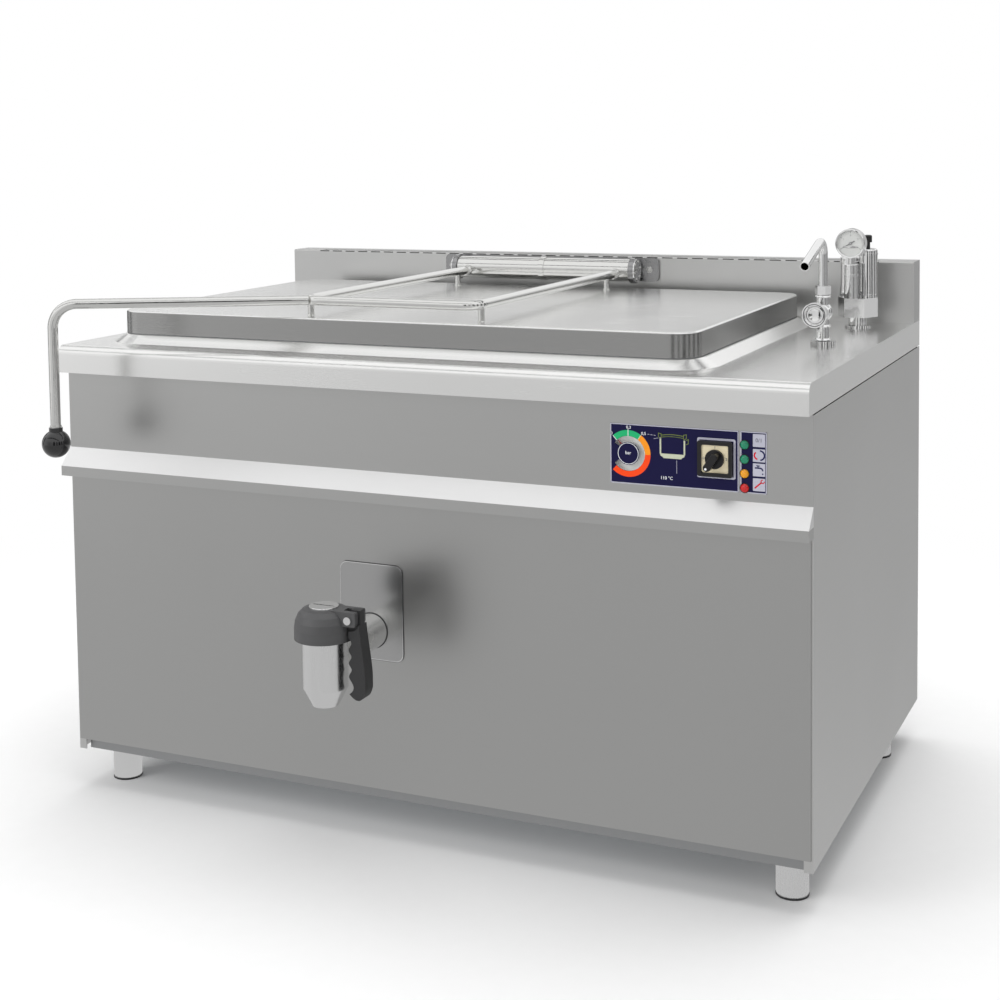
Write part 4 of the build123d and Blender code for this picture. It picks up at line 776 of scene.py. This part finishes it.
class LidTrim(Operator):
    """Collars where the frame meets the hinge tube, and weld beads round the standoffs"""

    bl_idname = "kettle.lid_trim"
    bl_label = "Lid trim"

    def execute(self, context):
        radius = 9.0
        least, most = low("lid_frame"), high("lid_frame")
        level = most[2] - radius
        rear = low("hinge_tube")[1]
        band = np.array([(9.05, 0), (10.6, 0.8), (11.0, 2.5), (11.0, 6.5), (10.6, 8.2), (9.05, 9.0)])
        bead = [(6.02, 0), (7.6, 0), (7.2, 0.6), (6.6, 1.2), (6.02, 1.6)]
        standoffs = ("front", least[1] + radius + 22.0), ("rear", high("lid_shell")[1] - 52.0)
        for side, x in (("left", least[0] + radius), ("right", most[0] - radius)):
            turned("arm_collar_" + side, band, (x, rear - 8.0, level), "+y", TUBE, "lid")
            turned("arm_collar_thin_" + side, band * (1, 0.35), (x, rear - 14.5, level), "+y", TUBE, "lid")
            for end, y in standoffs:
                turned(f"standoff_bead_{end}_{side}", bead, (x, y, least[2]), "+z", TUBE, "lid")
        neck = [(9.1, 0), (10.2, 0.4), (10.2, 2.6), (9.1, 3.0)]
        turned("lever_ferrule", neck, low("lid_lever") + (radius, radius, 1.0), "+z", TUBE, "lid")
        return {"FINISHED"}


class TapTrim(Operator):
    """Wheel cap, wheel ring and column rings of the tap"""

    bl_idname = "kettle.tap_trim"
    bl_label = "Tap trim"

    def execute(self, context):
        x, front, z = middle("tap_handwheel")[0], low("tap_handwheel")[1], middle("tap_handwheel")[2]
        cap = [(0, 0), (11.5, 0), (11.5, 1.2), (10.4, 2.2), (6.0, 3.0), (0, 3.2)]
        turned("wheel_cap", cap, (x, front + 6.0, z), "-y", CHROME, "tap_wheel")
        rim = [(18.4, 0), (19.6, 0), (19.6, 0.5), (19.0, 0.9), (18.4, 0.5)]
        turned("wheel_ring", rim, (x, front, z), "-y", GREY_PLASTIC, "tap_wheel", 72)
        column_x, column_y, apron = 612.0, 8.0, 50.0
        base = low("worktop")[2] + apron
        ring = [(10.9, 0), (13.4, 0.8), (14.2, 2.4), (13.4, 4.0), (10.9, 4.8)]
        for place, level in enumerate((8.0, 32.0, 84.0)):
            turned(f"column_ring_{place}", ring, (column_x, column_y, base + level), "+z", CHROME)
        return {"FINISHED"}


class SafetyTrim(Operator):
    """Bands on the two valves, the vacuum valve's nut and the siphon's collars"""

    bl_idname = "kettle.safety_trim"
    bl_label = "Safety group trim"

    def execute(self, context):
        band = np.array([(17.05, 0), (17.8, 0.5), (17.8, 3.5), (17.05, 4.0)])
        nut = [(0, 0), (8.5, 0), (8.5, 1.4), (7.6, 2.0), (0, 2.0)]
        collar = [(13.55, 0), (14.6, 0.6), (14.6, 3.4), (13.55, 4.0)]
        for valve, more, drop in (("vacuum", 0, 14.0), ("safety", 1, 12.0)):
            x, y, _ = middle(valve + "_valve")
            foot, top = low(valve + "_valve")[2] + 2.0, high(valve + "_valve")[2]
            for end, z in (("low", foot), ("high", top - drop)):
                turned(f"{valve}_band_{end}", band + (more, 0), (x, y, z), "+z", CHROME)
            if valve == "vacuum":
                turned("vacuum_nut", nut, (x, y, top), "+z", CHROME, segments=6)
        siphon_x, siphon_y, foot = 604.0, 270.0, low("safety_manifold")[2] + 100.0
        for end, z in (("low", foot), ("high", foot + 54.0)):
            turned("siphon_collar_" + end, collar, (siphon_x, siphon_y, z), "+z", CHROME)
        return {"FINISHED"}


class VentMouthShade(Operator):
    """Painted shade: thin black blocks along the upstand's top edge, standing for the shade inside the vents'
    mouths
    """

    bl_idname = "kettle.vent_mouths"
    bl_label = "Vent mouths"

    def execute(self, context):
        least, most = low("vent_grille"), high("vent_grille")
        pitch = 32
        count = int((most[0] - least[0]) // pitch)
        # The eight corners of a block, two by two by two, are added to every centre
        corner = np.indices((2, 2, 2)).reshape(3, 8).T - 0.5
        x = np.linspace(least[0] + pitch / 2, most[0] - pitch / 2, count)
        centres = np.stack([x, np.full(count, low("backsplash")[1]), np.full(count, most[2])], axis=1)
        points = centres[:, None] + corner * (23.0, 0.3, 1.8)
        sides = np.array([(0, 1, 3, 2), (4, 6, 7, 5), (0, 4, 5, 1), (2, 3, 7, 6), (0, 2, 6, 4), (1, 5, 7, 3)])
        faces = (sides + 8 * np.arange(count)[:, None, None]).reshape(-1, 4).tolist()
        # The black rubber finish here is painted shade in the vents' openings, not a rubber part
        solid("vent_mouths", points, faces, RUBBER)
        return {"FINISHED"}


class DrainSeams(Operator):
    """Seams round the drain plate and round the pipe where it leaves the plate, and a painted highlight just
    inside the plate's edge
    """

    bl_idname = "kettle.drain_seams"
    bl_label = "Drain seams"

    def execute(self, context):
        least, most = low("drain_plate"), high("drain_plate")
        across, _, tall = most - least
        centre = (least + most)[[0, 2]] / 2
        path = box_path(*centre, across + 0.9, tall + 0.9, 14.5, 9)
        printed_line("plate_seam", path, 1.0, most[1], SEAM, True, 0.9)
        # Painted highlight: a bright polished line along the inside of the plate's rounded edge
        inside = centre + (path - centre) * (1 - 2.6 / tall)
        printed_line("plate_edge", inside, 0.9, least[1], DISC, True, 0.15)
        x, _, z = middle("drain_pipe")
        ring = [(30.3, 0), (31.6, 0), (31.6, 0.5), (30.3, 1.0)]
        turned("pipe_seam", ring, (x, least[1], z), "-y", SEAM, segments=72)
        return {"FINISHED"}


class FootPads(Operator):
    """Black pad under each levelling foot"""

    bl_idname = "kettle.foot_pads"
    bl_label = "Foot pads"

    def execute(self, context):
        tall = size("pad_height")
        pad = [(26.0, 0.05), (27.0, 0.4), (27.0, tall), (26.0, tall + 0.4)]
        for place in ("front_left", "front_right", "rear_left", "rear_right"):
            x, y, _ = middle("foot_" + place)
            turned("pad_" + place, pad, (x, y, low("foot_" + place)[2]), "+z", RUBBER, "levelling_" + place)
        return {"FINISHED"}


class PanelScrews(Operator):
    """Pan heads round the rear panel"""

    bl_idname = "kettle.panel_screws"
    bl_label = "Panel screws"

    def execute(self, context):
        radius, pitch, edge = size("screw_radius"), size("screw_pitch"), 12
        head = radius * np.array([(0, 0), (1, 0), (1, 0.3), (0.75, 0.55), (0, 0.62)])
        left, _, bottom = low("rear_panel") + edge
        right, _, top = high("rear_panel") - edge
        across = np.linspace(left, right, int((right - left) // pitch) + 1)
        upward = np.linspace(bottom, top, int((top - bottom) // pitch) + 1)[1:-1]
        spots = [(x, z) for z in (bottom, top) for x in across]
        spots += [(x, z) for x in (left, right) for z in upward]
        for place, (x, z) in enumerate(spots):
            turned(f"rear_screw_{place:02d}", head, (x, high("rear_panel")[1], z), "+y", SCREW, segments=20)
        return {"FINISHED"}


# ---- studio, in metres


def glossy_only(item):
    """Makes a stage piece show in reflections and nowhere else."""
    for ray in ("camera", "diffuse", "shadow", "transmission", "volume_scatter"):
        setattr(item, "visible_" + ray, False)


def stage_grid(name, points, wrap, material):
    """Stage surface from a grid of points in metres."""
    rows, columns = points.shape[:2]
    mesh = bpy.data.meshes.new(name)
    mesh.from_pydata(points.reshape(-1, 3).tolist(), [], grid_faces(rows, columns, False, wrap))
    mesh.materials.append(bpy.data.materials[material])
    item = put(name, mesh)
    return item


# How bright the grey wall is round the object: share of a full turn from the left, brightness
WALL_TONES = ((0.0, 0.80), (0.10, 0.90), (0.135, 0.90), (0.177, 0.58), (0.23, 0.72), (0.30, 0.76),
              (0.42, 0.72), (0.55, 0.60), (0.66, 0.52), (0.71, 0.47), (0.765, 0.38), (0.785, 0.44),
              (0.818, 0.28), (0.86, 0.70), (0.92, 0.76), (1.0, 0.80))
# How bright the grey floor flat is that the upright faces mirror, in the same way
FLOOR_TONES = ((0.0, 0.58), (0.12, 0.61), (0.18, 0.55), (0.25, 0.58), (0.50, 0.55), (0.66, 0.47),
               (0.76, 0.46), (0.85, 0.55), (1.0, 0.58))
# Narrow black strips on the wall, which give chrome its streaks: share of a full turn, half width
WALL_STRIPS = ((0.035, 0.014), (0.285, 0.016), (0.345, 0.012), (0.405, 0.020), (0.46, 0.014), (0.52, 0.016),
               (0.595, 0.018), (0.65, 0.010), (0.93, 0.016), (0.97, 0.010))
# Black boards overhead: front and back edge of each, how far they reach to the sides, and their height
BOARDS = ((-3.3, -2.7), (0.5, 0.9), (1.7, 2.4))
BOARD_REACH, BOARD_HEIGHT = 4.5, 3.6
# Name and setting of each lamp, its place, its width and the point that it is aimed at
LAMPS = (("overhead_lamp", "overhead", (0.2, 0.4, 3.4), 3.6, (0, 0, 0.4)),
         ("fill_lamp", "fill", (-2.6, -3.4, 2.2), 2.4, (0, 0, 0.5)))


def flat_material(name, tones, strips=()):
    """Painted studio flat: grey that changes softly round the room, with dark strips, and white above."""
    tree, place = begin(name)
    turn = add(tree, "TexGradient", {"gradient_type": "RADIAL"}, place).outputs[1]
    ramp = add(tree, "ValToRGB", None, {0: turn})
    ramp.color_ramp.interpolation = "B_SPLINE"
    stops = ramp.color_ramp.elements
    for spot, tone in tones[1:-1]:
        stops.new(spot).color = (tone, tone, tone, 1)
    stops[0].color = (tones[0][1],) * 3 + (1,)
    stops[-1].color = (tones[-1][1],) * 3 + (1,)
    comb = add(tree, "ValToRGB", None, {0: turn})
    comb.color_ramp.interpolation = "CONSTANT"
    teeth = comb.color_ramp.elements
    teeth[0].color = teeth[1].color = (1, 1, 1, 1)
    for spot, half in strips:
        teeth.new(spot - half).color = (0.04, 0.04, 0.04, 1)
        teeth.new(spot + half).color = (1, 1, 1, 1)
    height = add(tree, "SeparateXYZ", None, place).outputs[2]
    rise = add(tree, "MapRange", {"From Min": 1.5, "From Max": 2.9, "interpolation_type": "SMOOTHSTEP"},
               {"Value": height})
    tone = add(tree, "Mix", {"data_type": "RGBA", 7: (1, 1, 1, 1)}, {0: rise, 6: ramp}).outputs[2]
    streaked = add(tree, "Mix", {"data_type": "RGBA", "blend_type": "MULTIPLY", 0: 1.0}, {6: tone, 7: comb})
    finish(tree, add(tree, "Emission", {"Strength": 1.0}, {"Color": streaked.outputs[2]}))


def board_material():
    """Black velvet boards above the object, whose reflections draw lines along the polished tubes."""
    tree, place = begin("studio_board_velvet")
    nap = add(tree, "TexNoise", {"Scale": 8.0, "Detail": 3.0}, place)
    finish(tree, add(tree, "Emission", {"Strength": 1.0},
                     {"Color": toned(tree, (0.05, 0.05, 0.05), 0.3, nap)}))


def floor_material():
    """Pale vinyl floor: takes the object's shadow near it and fades to the white background."""
    tree, place = begin("studio_floor_vinyl")
    speck = add(tree, "TexNoise", {"Scale": 1 / (30 * MM), "Detail": 2.0}, place)
    cloth = add(tree, "BsdfDiffuse", None, {"Color": toned(tree, (0.88, 0.88, 0.88), 0.01, speck)})
    white = add(tree, "Emission", {"Color": (1, 1, 1, 1), "Strength": 1.0})
    reach = add(tree, "VectorMath", {"operation": "LENGTH"}, {0: place["Vector"]}).outputs[1]
    away = add(tree, "MapRange", {"From Min": 1.1, "From Max": 2.4, "interpolation_type": "SMOOTHSTEP"},
               {"Value": reach})
    share = add(tree, "Math", {"operation": "MULTIPLY"}, {0: away, 1: rays(tree, "Camera", "Transmission")})
    finish(tree, add(tree, "MixShader", None, {0: share, 1: cloth, 2: white}))


class Studio(Operator):
    """Pale floor, grey reflecting wall, soft lamps and white surroundings"""

    bl_idname = "kettle.studio"
    bl_label = "Studio"

    def execute(self, context):
        stage = context.scene.kettle_stage
        flat_material("studio_wall_painted", WALL_TONES, WALL_STRIPS)
        flat_material("studio_floor_painted", FLOOR_TONES)
        floor_material()
        board_material()
        turn = np.linspace(0, 2 * np.pi, 96, endpoint=False)
        ring = np.stack([np.cos(turn), np.sin(turn), 0 * turn], axis=1)
        reach = np.array([0.01, 0.5, 1, 2, 4, 8, stage.floor_radius])
        floor = stage_grid("studio_floor", reach[:, None, None] * ring, True, "studio_floor_vinyl")
        floor.visible_glossy = False
        # The floor flat and the wall's foot lie just under the floor
        under = 0.002
        spread = np.linspace(0.01, stage.wall_radius, 6)
        flat = spread[:, None, None] * ring - (0, 0, under)
        glossy_only(stage_grid("studio_floor_flat", flat, True, "studio_floor_painted"))
        rise = np.linspace(-under, stage.wall_height, 8)
        wall = stage.wall_radius * ring[None] + rise[:, None, None] * np.array([0, 0, 1])
        glossy_only(stage_grid("studio_wall", wall, True, "studio_wall_painted"))
        for number, (near, far) in enumerate(BOARDS):
            depth, width = np.meshgrid(np.linspace(near, far, 3), np.linspace(-BOARD_REACH, BOARD_REACH, 5),
                                       indexing="ij")
            board = np.stack([width, depth, np.full_like(depth, BOARD_HEIGHT)], axis=2)
            glossy_only(stage_grid(f"studio_board_{number}", board, False, "studio_board_velvet"))
        for name, setting, spot, width, aim in LAMPS:
            lamp = bpy.data.lights.new(name, "AREA")
            lamp.energy = getattr(stage, setting)
            lamp.size = width
            item = put(name, lamp)
            item.location = spot
            item.rotation_euler = (Vector(aim) - Vector(spot)).to_track_quat("-Z", "Y").to_euler()
            item.visible_glossy = False
        world = bpy.data.worlds.new("white_room")
        context.scene.world = world
        world.use_nodes = True
        tree = world.node_tree
        tree.nodes.clear()
        level = add(tree, "MapRange", {"To Min": stage.room_light, "To Max": 1.0},
                    {"Value": rays(tree, "Camera", "Glossy", "Transmission")})
        back = add(tree, "Background", {"Color": (1, 1, 1, 1)}, {"Strength": level})
        add(tree, "OutputWorld", None, {"Surface": back})
        context.scene.view_settings.view_transform = "Standard"
        return {"FINISHED"}


class PhotoCamera(Operator):
    """Camera at the photograph's place, angle and crop"""

    bl_idname = "kettle.photo_camera"
    bl_label = "Camera"

    def execute(self, context):
        # Place in metres, angles in degrees; focal length and the horizon's height in pixels of the frame
        spot = (1.3047, -2.9053, 1.2204)
        yaw, pitch, roll = (math.radians(value) for value in (24.321, 4.002, -0.676))
        focal, horizon, frame_size = 1675.3, 250.0, 1000.0
        lens = bpy.data.cameras.new("photo_camera")
        lens.sensor_width = 36
        lens.lens = focal / frame_size * lens.sensor_width
        lens.shift_y = (horizon - frame_size / 2) / frame_size
        lens.clip_end = 200
        item = put("photo_camera", lens)
        item.matrix_world = (Matrix.Translation(spot) @ Matrix.Rotation(yaw, 4, "Z")
                             @ Matrix.Rotation(math.pi / 2 - pitch, 4, "X") @ Matrix.Rotation(roll, 4, "Z"))
        context.scene.camera = item
        return {"FINISHED"}


STEPS = (NodeFinishes, PressurePrint, VesselPrint, PlateBorders, SwitchFace, LampSigns, GaugeDial,
         HingeBolts, LidTrim, TapTrim, SafetyTrim, VentMouthShade, DrainSeams, FootPads, PanelScrews, Studio,
         PhotoCamera)


class KettlePanel(Panel):
    """Lists the kettle's pieces and settings in the sidebar"""

    bl_idname = "VIEW3D_PT_kettle"
    bl_label = "Kettle"
    bl_space_type = "VIEW_3D"
    bl_region_type = "UI"
    bl_category = "Kettle"

    def draw(self, context):
        for step in STEPS:
            self.layout.operator(step.bl_idname)
        for name, kind in GROUPS.items():
            box = self.layout.box()
            for setting in kind.__annotations__:
                box.prop(getattr(context.scene, name), setting)


GROUPS = {"kettle_sizes": KettleSizes, "kettle_colours": KettleColours, "kettle_stage": KettleStage}
CLASSES = tuple(GROUPS.values()) + STEPS + (KettlePanel,)


def register():
    for kind in CLASSES:
        bpy.utils.register_class(kind)
    for name, kind in GROUPS.items():
        setattr(bpy.types.Scene, name, PointerProperty(type=kind))


def unregister():
    for name in GROUPS:
        delattr(bpy.types.Scene, name)
    for kind in reversed(CLASSES):
        bpy.utils.unregister_class(kind)


def main():
    """Registers the add-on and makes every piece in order."""
    register()
    for step in STEPS:
        getattr(bpy.ops.kettle, step.bl_idname.split(".")[1])()


if __name__ == "__main__":
    main()
